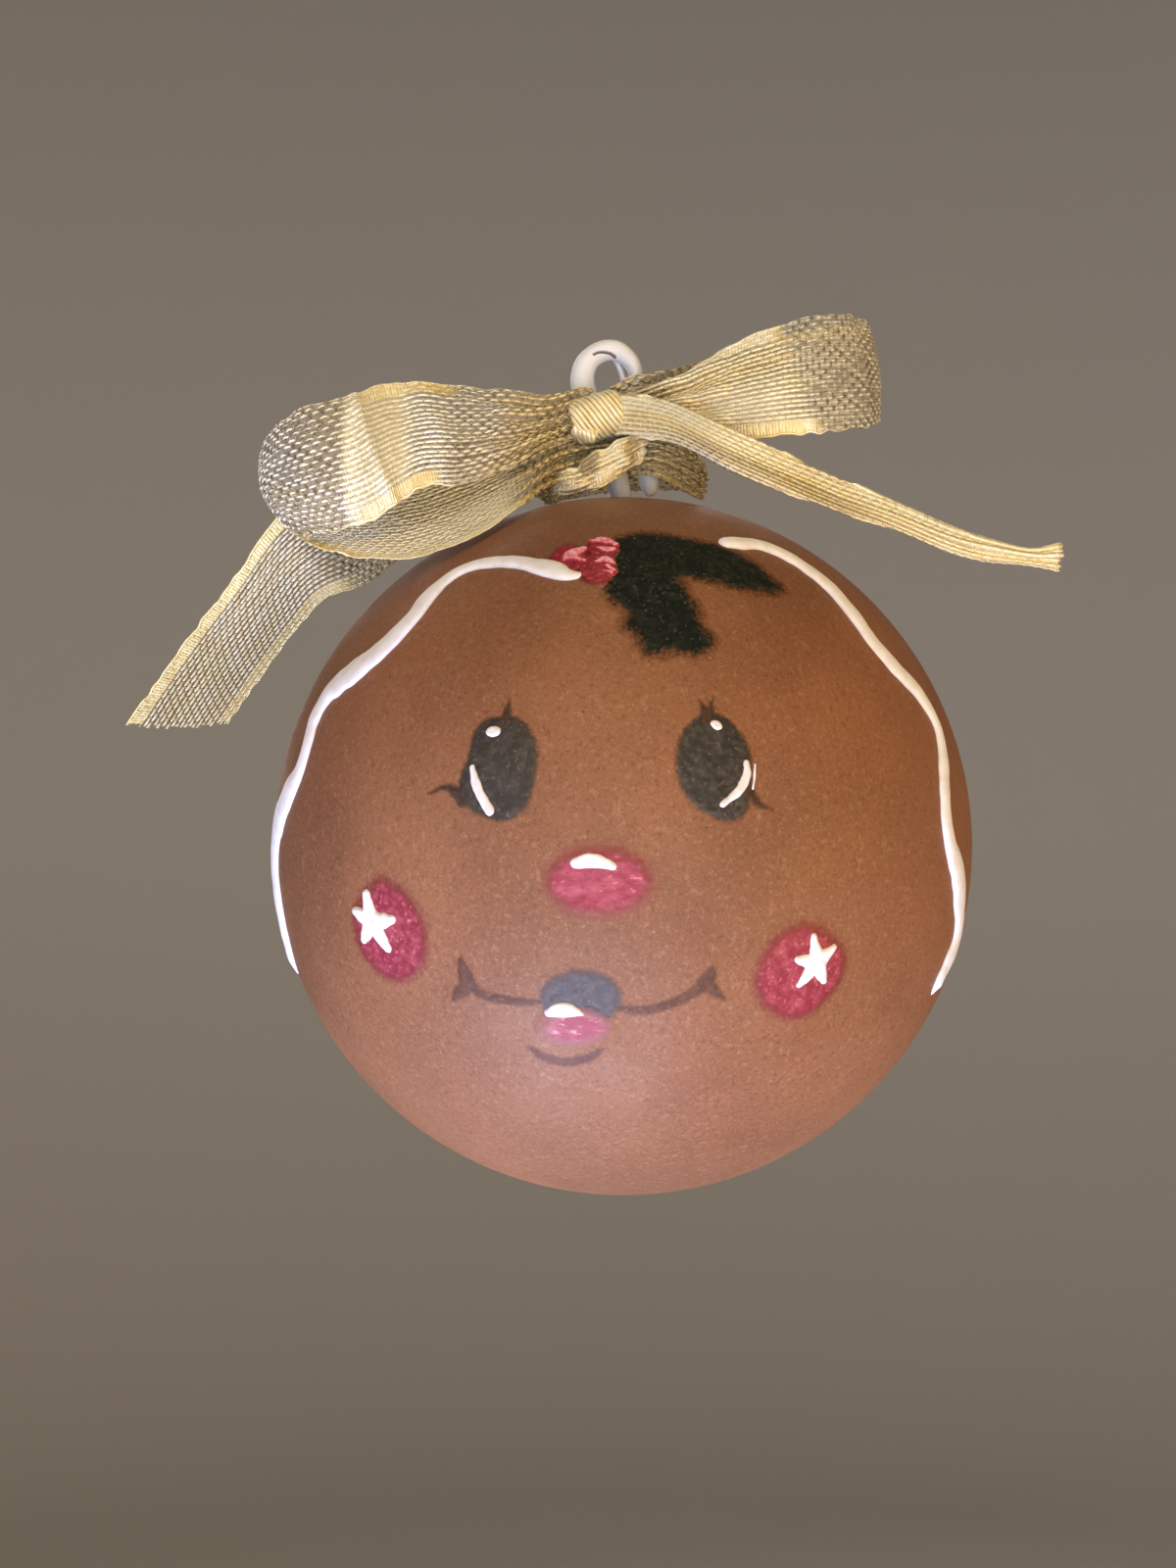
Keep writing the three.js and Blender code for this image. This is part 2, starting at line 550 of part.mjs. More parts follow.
// Holly: three berries over the icing's start, and two leaves that spring from them.
function addHolly() {
  const rise = (ICING_WIDTH + BERRY_HEIGHT) / 2;
  const berryPlaces = [
    placeFrom(ICING_START, 0, rise + SEAT_GAP),
    placeFrom(ICING_START, BERRY_WIDTH + SEAT_GAP, rise + BERRY_HEIGHT / 2 + SEAT_GAP),
    placeFrom(ICING_START, BERRY_WIDTH * 1.2, BERRY_HEIGHT * 0.35),
  ];
  berryPlaces.forEach((place, i) => (
    addDab(`holly_berry_${i + 1}`, place, ellipse(BERRY_WIDTH, BERRY_HEIGHT), CRIMSON, 14)));
  const [, upperBerry, lowerBerry] = berryPlaces;
  const upperDegrees = [
    placeFrom(upperBerry, BERRY_WIDTH / 2 + 2 * SEAT_GAP, 0),
    [6, 50.6], [12, 48.8], [19, 47.2], [26, 45.2], [33.2, 42.8],
  ];
  const upperShares = [0.35, 0.85, 0.97, 0.9, 0.72, 0.1];
  const lowerDegrees = [
    placeFrom(lowerBerry, BERRY_WIDTH, 0),
    [2.3, 43.6], [3, 41.6], [3.6, 39.4], [5.4, 36.8], [6.8, 34.6], [8.2, 31.6], [7.7, 28.9],
  ];
  const lowerShares = [0.25, 0.5, 0.95, 1.2, 1.1, 1, 1.15, 0.75];
  addStroke('holly_leaf_upper', routeOf(upperDegrees), LEAF_WIDTH, upperShares, GREEN);
  addStroke('holly_leaf_lower', routeOf(lowerDegrees), LEAF_WIDTH, lowerShares, GREEN);
}

// Eyes: an oval each, with two lashes beside it and two lights on it. The places of the lights are
// shares of the eye's half width and half height.
function addEye(side, place, outward) {
  const outline = ellipse(EYE_WIDTH, EYE_HEIGHT);
  addDab(`eye_${side}`, place, outline, CHARCOAL, 24);
  const lash = (name, degrees, length) => {
    const angle = THREE.MathUtils.degToRad(degrees);
    const start = outline(angle) + SEAT_GAP;
    const points = [0, 0.5, 1].map((share) => {
      const reach = start + share * length;
      return directionFrom(place, reach * Math.cos(angle), reach * Math.sin(angle));
    });
    addStroke(`eye_${side}_${name}`, points, LASH_WIDTH, [1, 0.6, 0.15], CHARCOAL, { stepsPerPoint: 1 });
  };
  lash('lash_top', 90 - outward * 3, LASH_LENGTH);
  lash('lash_side', outward > 0 ? -32 : 200, SIDE_LASH_LENGTH);
  const within = (rightShare, upShare) => (
    [outward * rightShare * (EYE_WIDTH / 2), upShare * (EYE_HEIGHT / 2)]);
  const lightPlace = placeFrom(place, ...within(0.15, 0.66));
  addDab(`eye_${side}_light`, lightPlace, ellipse(EYE_LIGHT_WIDTH, EYE_LIGHT_HEIGHT), WHITE, 10, SECOND_COAT);
  const crescent = [[0.74, 0.02], [0.66, -0.3], [0.45, -0.58], [0.16, -0.76]].map((shares) => (
    directionFrom(place, ...within(...shares))));
  addStroke(`eye_${side}_crescent`, crescent, LASH_WIDTH, [0.5, 0.9, 0.9, 0.4], WHITE,
    { coat: SECOND_COAT, stepsPerPoint: 2 });
}

// Cheeks: a round blush each, with a brushed star on it.
function addCheek(side, place, starShares, armDegrees) {
  addDab(`cheek_${side}`, place, ellipse(CHEEK_WIDTH, CHEEK_HEIGHT), CRIMSON, 22);
  const armWidth = THREE.MathUtils.degToRad(17);
  const star = (angle) => {
    const nearness = armDegrees.map((degrees) => {
      const apart = angle - THREE.MathUtils.degToRad(degrees);
      const wrapped = Math.atan2(Math.sin(apart), Math.cos(apart));
      return Math.exp(-((wrapped / armWidth) ** 2));
    });
    return STAR_WAIST + (STAR_REACH - STAR_WAIST) * Math.max(...nearness);
  };
  const starPlace = placeFrom(place, starShares[0] * CHEEK_WIDTH, starShares[1] * CHEEK_HEIGHT);
  addDab(`cheek_${side}_star`, starPlace, star, WHITE, 40, SECOND_COAT);
}

// Nose, mouth and the lines beside them. The lip hangs under the mouth, and the chin under the lip.
function addMuzzle() {
  const nosePlace = [-4, -3.1];
  const mouthPlace = [-7.1, -18.3];
  const lipPlace = placeFrom(mouthPlace, 0, -(MOUTH_HEIGHT + LIP_HEIGHT) / 2 - SEAT_GAP);
  const along = (place, width, height, shares) => (
    shares.map(([across, above]) => placeFrom(place, across * width, above * height)));

  addDab('nose', nosePlace, ellipse(NOSE_WIDTH, NOSE_HEIGHT), CRIMSON, 22);
  const noseLightShares = [[-0.25, 0.21], [-0.06, 0.3], [0.14, 0.21]];
  const noseLight = along(nosePlace, NOSE_WIDTH, NOSE_HEIGHT, noseLightShares);
  addStroke('nose_light', routeOf(noseLight), LINE_WIDTH, [0.6, 1.5, 0.5], WHITE, { coat: SECOND_COAT });

  addDab('mouth', mouthPlace, ellipse(MOUTH_WIDTH, MOUTH_HEIGHT), MOUTH_BLUE, 20);
  addDab('lower_lip', lipPlace, ellipse(LIP_WIDTH, LIP_HEIGHT), CRIMSON, 18);
  const lipLightShares = [[-0.33, 0.12], [-0.14, 0.22], [0.06, 0.22]];
  const lipLight = along(lipPlace, LIP_WIDTH, LIP_HEIGHT, lipLightShares);
  addStroke('lower_lip_light', routeOf(lipLight), LINE_WIDTH, [0.4, 0.9, 0.4], WHITE, { coat: SECOND_COAT });
  const chinShares = [[-0.67, -1], [-0.46, -1.34], [-0.2, -1.5], [0.06, -1.34], [0.27, -0.95]];
  const chin = along(lipPlace, LIP_WIDTH, LIP_HEIGHT, chinShares);
  addStroke('chin_line', routeOf(chin), LINE_WIDTH, [0.3, 0.9, 1, 0.9, 0.3], SOFT_BROWN);

  const corner = MOUTH_WIDTH / 2 + SEAT_GAP;
  const cornerDrop = -0.4 * MOUTH_HEIGHT;
  const smileLeft = [
    [-24.7, -14.4], [-25.4, -17.2], [-24.4, -19.4], [-21.5, -20.5], [-18, -20.9],
    placeFrom(mouthPlace, -corner, cornerDrop),
  ];
  const smileRight = [
    placeFrom(mouthPlace, corner, cornerDrop),
    [3, -21.7], [6, -20.9], [9.3, -19.6], [11.5, -17.6], [11.4, -14.9],
  ];
  addStroke('smile_left', routeOf(smileLeft), LINE_WIDTH, [0.5, 1, 1.1, 1, 0.9, 0.4], CHARCOAL);
  addStroke('smile_right', routeOf(smileRight), LINE_WIDTH, [0.4, 0.9, 1, 1.1, 1, 0.5], CHARCOAL);
}

const sections = hookSections();
addBall();
addHook(sections);
addWrap(sections);
addKnot();
addBand('ribbon_loop_left', loopLeftShares, 3, clothOf());
addBand('ribbon_loop_right', loopRightShares, 3, clothOf());
addBand('ribbon_tail_left', tailLeftShares, 3, clothOf());
addBand('ribbon_tail_right', tailRightShares, 3, clothOf());
addIcing();
addHolly();
addEye('left', [-18.9, 12.5], -1);
addEye('right', [11.9, 12.4], 1);
addCheek('left', [-36.9, -10.9], [-0.18, 0.07], [99, 162, 3, 229, 302]);
addCheek('right', [25.6, -16.8], [0.2, 0.1], [106, 36, -61, 237, 168]);
addMuzzle();

export default ornament;
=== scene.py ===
import math

import bmesh
import bpy
import numpy as np
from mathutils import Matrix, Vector


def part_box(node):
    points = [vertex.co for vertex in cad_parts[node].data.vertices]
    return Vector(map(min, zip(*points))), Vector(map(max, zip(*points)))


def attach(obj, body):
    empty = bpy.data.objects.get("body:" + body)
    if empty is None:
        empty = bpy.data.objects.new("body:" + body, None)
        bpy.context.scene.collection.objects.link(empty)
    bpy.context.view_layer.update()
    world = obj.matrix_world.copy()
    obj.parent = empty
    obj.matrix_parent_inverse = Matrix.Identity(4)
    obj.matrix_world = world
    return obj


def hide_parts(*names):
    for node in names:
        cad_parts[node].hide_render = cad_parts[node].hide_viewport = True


# Gingerbread ornament: the painted ball, its moulded hook and its organza bow. Lengths are in
# millimetres here and become metres where a mesh is made.
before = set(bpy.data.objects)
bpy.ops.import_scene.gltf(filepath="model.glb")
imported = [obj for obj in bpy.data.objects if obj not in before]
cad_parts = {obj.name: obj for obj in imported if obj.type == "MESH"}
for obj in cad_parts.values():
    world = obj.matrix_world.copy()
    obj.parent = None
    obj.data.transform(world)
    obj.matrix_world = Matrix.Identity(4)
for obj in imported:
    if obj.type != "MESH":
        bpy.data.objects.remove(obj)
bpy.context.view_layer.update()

MM = 0.001
BODY = "root"

# The camera stands where the photograph was taken from. Its image is 1200 by 1600 pixels.
CAMERA_AT = np.array([-2.456, -180.0, -43.2])
IMAGE_SIZE_PX = np.array([1200.0, 1600.0])
FOCAL_PX = 1795.9
SENSOR = 36.0

# Ball and knot, where the frame has them
ball_low, ball_high = (np.array(corner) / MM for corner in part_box("ball_shell"))
BALL_RADIUS = (ball_high[0] - ball_low[0]) / 2
BALL_CENTRE = np.array([(ball_low[0] + ball_high[0]) / 2, 0.0, ball_low[2] + BALL_RADIUS])
BALL_WALL = 1.2
HOLE_RADIUS = 1.45
knot_low, knot_high = (np.array(corner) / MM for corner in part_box("ribbon_knot"))
KNOT_CENTRE = (knot_low + knot_high) / 2

# Ribbon
RIBBON_WIDTH = 12.0
SELVAGE = 1.5
WARP_COUNT = 22
WARP_PITCH = RIBBON_WIDTH / WARP_COUNT
WEFT_PITCH = 0.6
WARP_HALF_WIDTH = 0.18
WEFT_HALF_WIDTH = 0.075
THREAD_HALF_HEIGHT = 0.05
THREAD_WEAVE = 0.05
WEFT_END = 0.06
WARP_SPREAD = (0.88, 1.1)
WEFT_SPREAD = (0.8, 1.25)
THREAD_DRIFT = 0.04
LOOSE_DRIFT = 0.05
CLOTH_SHARE = 0.83
WEFT_SHADE = 0.75
LOOSE_VEIL = 0.32
PEBBLE = 1.4
SCALLOP = 0.16
SCALLOP_CELL = 0.95
BALL_CLEARANCE = 0.35
PLEAT_STEEPNESS = 1.5
PANEL_SHARES = (0.24, 0.9)
DEEPEST_TUCK = 0.92
FOLD_TURN = 0.12

# Paint. The skin is how far its border and its middle lie under and over the ball's surface. The
# slope is how steeply a thick dab goes down into the ball outside its shape.
SKIN = 0.012
RAGGED_CELL = 0.55
DAB_LUMPS = 0.18
DAB_SLOPE = 1.5
ICING_RELIEF = 0.5
ICING_WIDTH = 2.1


# Numbers and curves

NOISE_LATTICE = 64
SAMPLES_PER_ROW = 60


def unit(vectors):
    return vectors / np.linalg.norm(vectors, axis=-1, keepdims=True)


def smoothstep(low, high, values):
    share = np.clip((values - low) / (high - low), 0, 1)
    return share * share * (3 - 2 * share)


def smooth_noise(x, y, cell, seed):
    """Soft bumps between -1 and 1, about one cell across."""
    size = NOISE_LATTICE
    lattice = np.random.default_rng(seed).uniform(-1, 1, (size, size))
    column, row = np.floor(x / cell).astype(int), np.floor(y / cell).astype(int)
    across, up = smoothstep(0, 1, x / cell - column), smoothstep(0, 1, y / cell - row)

    def corner(right, above):
        return lattice[(column + right) % size, (row + above) % size]

    lower = corner(0, 0) * (1 - across) + corner(1, 0) * across
    upper = corner(0, 1) * (1 - across) + corner(1, 1) * across
    return lower * (1 - up) + upper * up


def catmull_rom(points, places):
    """Points of a smooth curve through the given ones, at places counted in points."""
    points = np.asarray(points, float)
    before = np.concatenate([2 * points[:1] - points[1:2], points, 2 * points[-1:] - points[-2:-1]])
    index = np.minimum(np.floor(places).astype(int), len(points) - 2)
    t = (places - index).reshape((-1,) + (1,) * (points.ndim - 1))
    p0, p1, p2, p3 = (before[index + shift] for shift in range(4))
    return 0.5 * (2 * p1 + (p2 - p0) * t + (2 * p0 - 5 * p1 + 4 * p2 - p3) * t**2
                  + (3 * p1 - p0 - 3 * p2 + p3) * t**3)


def curve_through(points, steps):
    return catmull_rom(points, np.linspace(0, len(points) - 1, (len(points) - 1) * steps + 1))


def closed_curve_through(points, steps):
    count = len(points)
    around = np.asarray(points, float)
    around = np.concatenate([around[-2:], around, around[:3]])
    return catmull_rom(around, 2 + np.arange(count * steps) / steps)


def even_places(rows, middle, step):
    """Places along rows of points that lie evenly along their middle line, and its length."""
    dense = np.linspace(0, len(rows) - 1, SAMPLES_PER_ROW * len(rows))
    line = middle(catmull_rom(rows, dense))
    walked = np.concatenate([[0], np.cumsum(np.linalg.norm(np.diff(line, axis=0), axis=1))])
    count = max(2, 2 * round(walked[-1] / step / 2))
    return np.interp(np.linspace(0, walked[-1], count + 1), walked, dense), walked[-1]


# Meshes

def grid_quads(rows, columns, closed_columns=False):
    """Quads of a grid of points that were laid down row by row."""
    row = np.arange(rows - 1)[:, None]
    column = np.arange(columns if closed_columns else columns - 1)[None, :]
    next_row, next_column = row + 1, (column + 1) % columns
    corners = [row * columns + column, row * columns + next_column,
               next_row * columns + next_column, next_row * columns + column]
    return np.stack([np.broadcast_to(c, (row.size, column.size)) for c in corners], -1).reshape(-1, 4)


def tube_faces(rings, around):
    """Faces of a closed tube whose points were laid down ring by ring, with a face at each end."""
    sides = [list(face) for face in grid_quads(rings, around, closed_columns=True)]
    last = (rings - 1) * around
    return sides + [list(range(around)), list(range(last, last + around))[::-1]]


def add_object(name, points, faces, material):
    """An object of the scene, from points in millimetres."""
    mesh = bpy.data.meshes.new(name)
    mesh.from_pydata((points * MM).tolist(), [], faces)
    mesh.materials.append(material)
    mesh.shade_smooth()
    made = bpy.data.objects.new(name, mesh)
    bpy.context.scene.collection.objects.link(made)
    return made


def face_outwards(mesh):
    work = bmesh.new()
    work.from_mesh(mesh)
    bmesh.ops.recalc_face_normals(work, faces=work.faces)
    work.to_mesh(mesh)
    work.free()


def add_piece(name, points, faces, material, slot, nodes=(), closed=True, **attributes):
    """Makes a piece of the ornament that rides with the body and stands for the named nodes."""
    piece = add_object(name, np.asarray(points), [list(map(int, face)) for face in faces], material)
    for key, values in attributes.items():
        layer = piece.data.attributes.new(key, "FLOAT", "POINT")
        layer.data.foreach_set("value", np.asarray(values, np.float32).ravel())
    if closed:
        face_outwards(piece.data)
    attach(piece, BODY)
    if nodes:
        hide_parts(*nodes)
    return piece


# Materials

def srgb(red, green, blue):
    """A colour as a screen shows it, from 0 to 255, turned into linear light."""
    def linear(level):
        share = level / 255
        return share / 12.92 if share <= 0.04045 else ((share + 0.055) / 1.055) ** 2.4
    return (linear(red), linear(green), linear(blue), 1.0)


class Shader:
    """A material with short ways to add the nodes that vary it over the surface."""

    def __init__(self, name, roughness=0.6, metallic=0.0, specular=0.5, **more):
        self.material = bpy.data.materials.new(name)
        self.material.use_nodes = True
        self.tree = self.material.node_tree
        self.surface = self.tree.nodes["Principled BSDF"]
        self.set("Roughness", roughness)
        self.set("Metallic", metallic)
        self.set("Specular IOR Level", specular)
        for key, value in more.items():
            self.set(key.replace("_", " "), value)

    def set(self, socket, value):
        self.feed(self.surface.inputs[socket], value)

    def feed(self, socket, value):
        if isinstance(value, bpy.types.NodeSocket):
            self.tree.links.new(value, socket)
        else:
            socket.default_value = value

    def node(self, kind, **settings):
        made = self.tree.nodes.new(kind)
        for key, value in settings.items():
            setattr(made, key, value)
        return made

    def position(self, stretch=None):
        place = self.node("ShaderNodeTexCoord").outputs["Object"]
        if stretch is None:
            return place
        mapping = self.node("ShaderNodeMapping")
        self.feed(mapping.inputs["Vector"], place)
        mapping.inputs["Scale"].default_value = stretch
        return mapping.outputs["Vector"]

    def noise(self, size, detail=2.0, stretch=None):
        """Soft noise whose features are about that many millimetres across."""
        made = self.node("ShaderNodeTexNoise")
        self.feed(made.inputs["Vector"], self.position(stretch))
        made.inputs["Scale"].default_value = 1 / (size * MM)
        made.inputs["Detail"].default_value = detail
        return made.outputs["Fac"]

    def attribute(self, name):
        return self.node("ShaderNodeAttribute", attribute_name=name).outputs["Fac"]

    def maths(self, operation, first, second=0.0):
        made = self.node("ShaderNodeMath", operation=operation)
        self.feed(made.inputs[0], first)
        self.feed(made.inputs[1], second)
        return made.outputs[0]

    def ramp(self, value, low, high, first=0.0, last=1.0):
        made = self.node("ShaderNodeMapRange", interpolation_type="SMOOTHSTEP")
        self.feed(made.inputs["Value"], value)
        for key, number in zip(("From Min", "From Max", "To Min", "To Max"), (low, high, first, last)):
            made.inputs[key].default_value = number
        return made.outputs["Result"]

    def mix(self, factor, first, second):
        made = self.node("ShaderNodeMix", data_type="RGBA")
        self.feed(made.inputs["Factor"], factor)
        self.feed(made.inputs[6], first)
        self.feed(made.inputs[7], second)
        return made.outputs[2]

    def dots(self, spacing, radius, share):
        """Small round dots, one in each cell of the given share of the cells."""
        made = self.node("ShaderNodeTexVoronoi")
        self.feed(made.inputs["Vector"], self.position())
        made.inputs["Scale"].default_value = 1 / (spacing * MM)
        near = self.ramp(made.outputs["Distance"], radius / spacing, 0.4 * radius / spacing)
        parts = self.node("ShaderNodeSeparateColor")
        self.feed(parts.inputs["Color"], made.outputs["Color"])
        chosen = self.maths("LESS_THAN", parts.outputs["Red"], share)
        return self.maths("MULTIPLY", near, chosen)

    def bump(self, height, depth, strength=1.0):
        made = self.node("ShaderNodeBump")
        self.feed(made.inputs["Height"], height)
        made.inputs["Distance"].default_value = depth * MM
        made.inputs["Strength"].default_value = strength
        self.set("Normal", made.outputs["Normal"])


BROWN = srgb(130, 86, 62)
BROWN_DEEP = srgb(118, 76, 55)
BROWN_WARM = srgb(139, 92, 66)
BROWN_DUST = srgb(180, 142, 118)
BROWN_PIT = srgb(82, 50, 38)


def gingerbread(shader):
    """The ball's brown paint: colour, roughness and height."""
    cloud = shader.ramp(shader.noise(26, 3), 0.35, 0.65)
    colour = shader.mix(cloud, BROWN_DEEP, BROWN_WARM)
    wash = shader.ramp(shader.noise(5, 4), 0.4, 0.75, 0.0, 0.4)
    colour = shader.mix(wash, colour, BROWN)
    strokes = shader.ramp(shader.noise(0.7, 3, stretch=(1, 1, 0.3)), 0.6, 0.8, 0.0, 0.2)
    colour = shader.mix(strokes, colour, BROWN_DUST)
    grain = shader.noise(0.45, 2)
    colour = shader.mix(shader.ramp(grain, 0.56, 0.74, 0.0, 0.24), colour, BROWN_DUST)
    colour = shader.mix(shader.ramp(grain, 0.44, 0.28, 0.0, 0.4), colour, BROWN_PIT)
    specks = shader.noise(0.2, 1)
    colour = shader.mix(shader.ramp(specks, 0.55, 0.8, 0.0, 0.25), colour, BROWN_DUST)
    colour = shader.mix(shader.ramp(specks, 0.45, 0.2, 0.0, 0.5), colour, BROWN_PIT)
    colour = shader.mix(shader.maths("MULTIPLY", shader.dots(2.6, 0.15, 0.25), 0.5), colour, BROWN_DUST)
    colour = shader.mix(shader.dots(3.3, 0.15, 0.25), colour, BROWN_PIT)
    roughness = shader.ramp(shader.noise(7, 3), 0.3, 0.7, 0.5, 0.64)
    return colour, roughness, grain


def ball_material():
    shader = Shader("gingerbread_paint", specular=0.4)
    colour, roughness, height = gingerbread(shader)
    shader.set("Base Color", colour)
    shader.set("Roughness", roughness)
    shader.bump(height, 0.035, 0.8)
    return shader.material


def coat_material(name, core, second, rim, fleck, soft, fuzz, rim_depth, streak=(1, 1, 1), roughness=0.6,
                  cover=1.0, beneath=None, specular=0.4):
    """Paint that blends at its edge into the ball's brown, or into the paint beneath it where the
    attribute covered says so. The attribute depth says how far inside the dab a point lies. Core,
    second, rim, fleck and beneath are tones from 0 to 255."""
    core, second, rim, fleck = (srgb(*tone) for tone in (core, second, rim, fleck))
    shader = Shader(name, specular=specular)
    brown, brown_roughness, grain = gingerbread(shader)
    ragged = shader.maths("MULTIPLY", shader.maths("SUBTRACT", shader.noise(0.35, 3), 0.5), fuzz)
    depth = shader.maths("ADD", shader.attribute("depth"), ragged)
    colour = shader.mix(shader.ramp(shader.noise(0.9, 4, streak), 0.4, 0.68), core, second)
    marks = shader.noise(0.36, 3, streak)
    colour = shader.mix(shader.ramp(marks, 0.58, 0.72), colour, fleck)
    colour = shader.mix(shader.ramp(marks, 0.42, 0.3, 0.0, 0.8), colour, rim)
    colour = shader.mix(shader.ramp(depth, rim_depth, 0.3 * rim_depth), colour, rim)
    mask = shader.ramp(depth, -soft, soft, 0.0, cover)
    ground = brown if beneath is None else shader.mix(shader.attribute("covered"), brown, srgb(*beneath))
    shader.set("Base Color", shader.mix(mask, ground, colour))
    blended = shader.node("ShaderNodeMix", data_type="FLOAT")
    shader.feed(blended.inputs[0], mask)
    shader.feed(blended.inputs[2], brown_roughness)
    blended.inputs[3].default_value = roughness
    shader.set("Roughness", blended.outputs[0])
    shader.bump(grain, 0.035, 0.8)
    return shader.material


def raised_material(name, colour, shade):
    """Thick white paint with faint brush ridges."""
    shader = Shader(name, roughness=0.42, specular=0.45)
    shader.set("Base Color", shader.mix(shader.ramp(shader.noise(1.2, 3), 0.4, 0.75), colour, shade))
    shader.bump(shader.noise(0.5, 3), 0.03, 0.6)
    return shader.material


def icing_paint():
    return raised_material("icing_paint", srgb(236, 236, 254), srgb(225, 222, 239))


def light_paint():
    return raised_material("light_paint", srgb(228, 224, 236), srgb(212, 206, 220))


def plastic_material():
    shader = Shader("hook_plastic", roughness=0.34, specular=0.5, Subsurface_Weight=0.15)
    shader.surface.inputs["Subsurface Radius"].default_value = (0.001, 0.0009, 0.0008)
    soiled = shader.ramp(shader.noise(2.5, 4), 0.45, 0.8, 0.0, 0.5)
    colour = shader.mix(soiled, srgb(224, 231, 255), srgb(206, 207, 231))
    # Painted shade: the dent across the top of the hook's eye is coloured dark grey.
    shader.set("Base Color", shader.mix(shader.attribute("groove"), colour, srgb(104, 98, 100)))
    shader.bump(shader.noise(0.8, 2), 0.02, 0.5)
    return shader.material


def ribbon_shader(name):
    """Pale or golden, painted nearly white as a highlight where it glints and brown as shade in
    grooves, folds and between threads, each as the attribute of that name says."""
    shader = Shader(name, roughness=0.45, metallic=0.35, specular=0.6)
    worn = shader.ramp(shader.noise(0.7, 2), 0.35, 0.7)
    pale = shader.mix(worn, srgb(232, 226, 216), srgb(253, 250, 245))
    golden = shader.mix(worn, srgb(246, 222, 160), srgb(255, 244, 198))
    colour = shader.mix(shader.attribute("golden"), pale, golden)
    # Painted highlight where glint is high, and painted brown shade where shade is high.
    colour = shader.mix(shader.attribute("glint"), colour, srgb(255, 253, 244))
    shader.set("Base Color", shader.mix(shader.attribute("shade"), colour, srgb(92, 72, 42)))
    return shader


def thread_material():
    return ribbon_shader("gold_thread").material


SATIN_RIB = 0.32


def film_material():
    """The fine filling between the threads, nearly clear, and the satin of the selvages."""
    shader = ribbon_shader("gold_film")
    veil = shader.ramp(shader.noise(0.3, 2), 0.35, 0.7, 0.03, 0.22)
    satin = shader.attribute("satin")
    shader.set("Alpha", shader.maths("MAXIMUM", veil, satin))
    ribs = shader.maths("SINE", shader.maths("MULTIPLY", shader.attribute("along"), 2 * math.pi / SATIN_RIB))
    shader.bump(shader.maths("MULTIPLY", ribs, satin), 0.05, 0.8)
    return shader.material


# Ball

BALL_SIDES = 384
BALL_OUTER_RINGS = 190
BALL_INNER_RINGS = 40


def ball_wall(radius, rings):
    """Points of a round wall from the edge of its hole down to just above its lowest point."""
    angle = np.linspace(math.asin(HOLE_RADIUS / radius), math.pi, rings + 1)[:-1, None]
    turns = np.linspace(0, 2 * math.pi, BALL_SIDES, endpoint=False)
    across, up = radius * np.sin(angle), radius * np.cos(angle)
    return np.stack([across * np.cos(turns), across * np.sin(turns), up + 0 * turns], -1).reshape(-1, 3)


def add_ball():
    """The hollow ball as a body of revolution, from the hole at its top round to the hole's inside."""
    outer = ball_wall(BALL_RADIUS, BALL_OUTER_RINGS)
    inner = ball_wall(BALL_RADIUS - BALL_WALL, BALL_INNER_RINGS)
    bottoms = np.array([[0, 0, -BALL_RADIUS], [0, 0, BALL_WALL - BALL_RADIUS]])
    points = np.concatenate([outer, inner, bottoms]) + BALL_CENTRE
    shift = len(outer)
    outer_quads = grid_quads(BALL_OUTER_RINGS, BALL_SIDES, closed_columns=True)
    inner_quads = grid_quads(BALL_INNER_RINGS, BALL_SIDES, closed_columns=True)[:, ::-1] + shift
    faces = outer_quads.tolist() + inner_quads.tolist()
    pole = shift + len(inner)
    last_outer, last_inner = shift - BALL_SIDES, pole - BALL_SIDES
    for side in range(BALL_SIDES):
        following = (side + 1) % BALL_SIDES
        faces.append([side, shift + side, shift + following, following])
        faces.append([last_outer + side, last_outer + following, pole])
        faces.append([last_inner + following, last_inner + side, pole + 1])
    add_piece("ball", points, faces, ball_material(), "gingerbread_paint", ["ball_shell"])


# Places on the ball

def sight_lines(pixels):
    """Directions from the camera to pixels, each one millimetre deep."""
    offset = (np.asarray(pixels, float) - IMAGE_SIZE_PX / 2) / FOCAL_PX
    return np.stack([offset[:, 0], np.ones(len(offset)), -offset[:, 1]], 1)


def on_ball(pixels):
    """Directions from the ball's middle to the spots of the ball that the camera sees there."""
    sight = sight_lines(pixels)
    to_centre = BALL_CENTRE - CAMERA_AT
    squared, along = (sight**2).sum(1), sight @ to_centre
    root = np.sqrt(np.maximum(along**2 - squared * (to_centre @ to_centre - BALL_RADIUS**2), 0))
    spots = CAMERA_AT + sight * ((along - root) / squared)[:, None]
    return unit(spots - BALL_CENTRE)


def from_degrees(table):
    """Directions from degrees to the right of the face's middle and above the ball's equator."""
    right, up = np.radians(np.asarray(table, float)).T
    return np.stack([np.sin(right) * np.cos(up), -np.cos(right) * np.cos(up), np.sin(up)], 1)


class Ground:
    """A flat map of the ball round one spot, in millimetres along its surface."""

    def __init__(self, directions):
        self.up = unit(directions.mean(axis=0))
        self.east = unit(np.cross([0.0, 0.0, 1.0], self.up))
        self.north = np.cross(self.up, self.east)

    def flat(self, directions):
        lift = np.clip(directions @ self.up, -1, 1)
        aside = np.stack([directions @ self.east, directions @ self.north], 1)
        reach = np.maximum(np.linalg.norm(aside, axis=1), 1e-9)
        return aside * (BALL_RADIUS * np.arccos(lift) / reach)[:, None]

    def raised(self, u, v, height):
        reach = np.maximum(np.hypot(u, v), 1e-9)
        angle = reach / BALL_RADIUS
        aside = (u / reach)[:, None] * self.east + (v / reach)[:, None] * self.north
        towards = np.cos(angle)[:, None] * self.up + np.sin(angle)[:, None] * aside
        return BALL_CENTRE + towards * (BALL_RADIUS + height)[:, None]


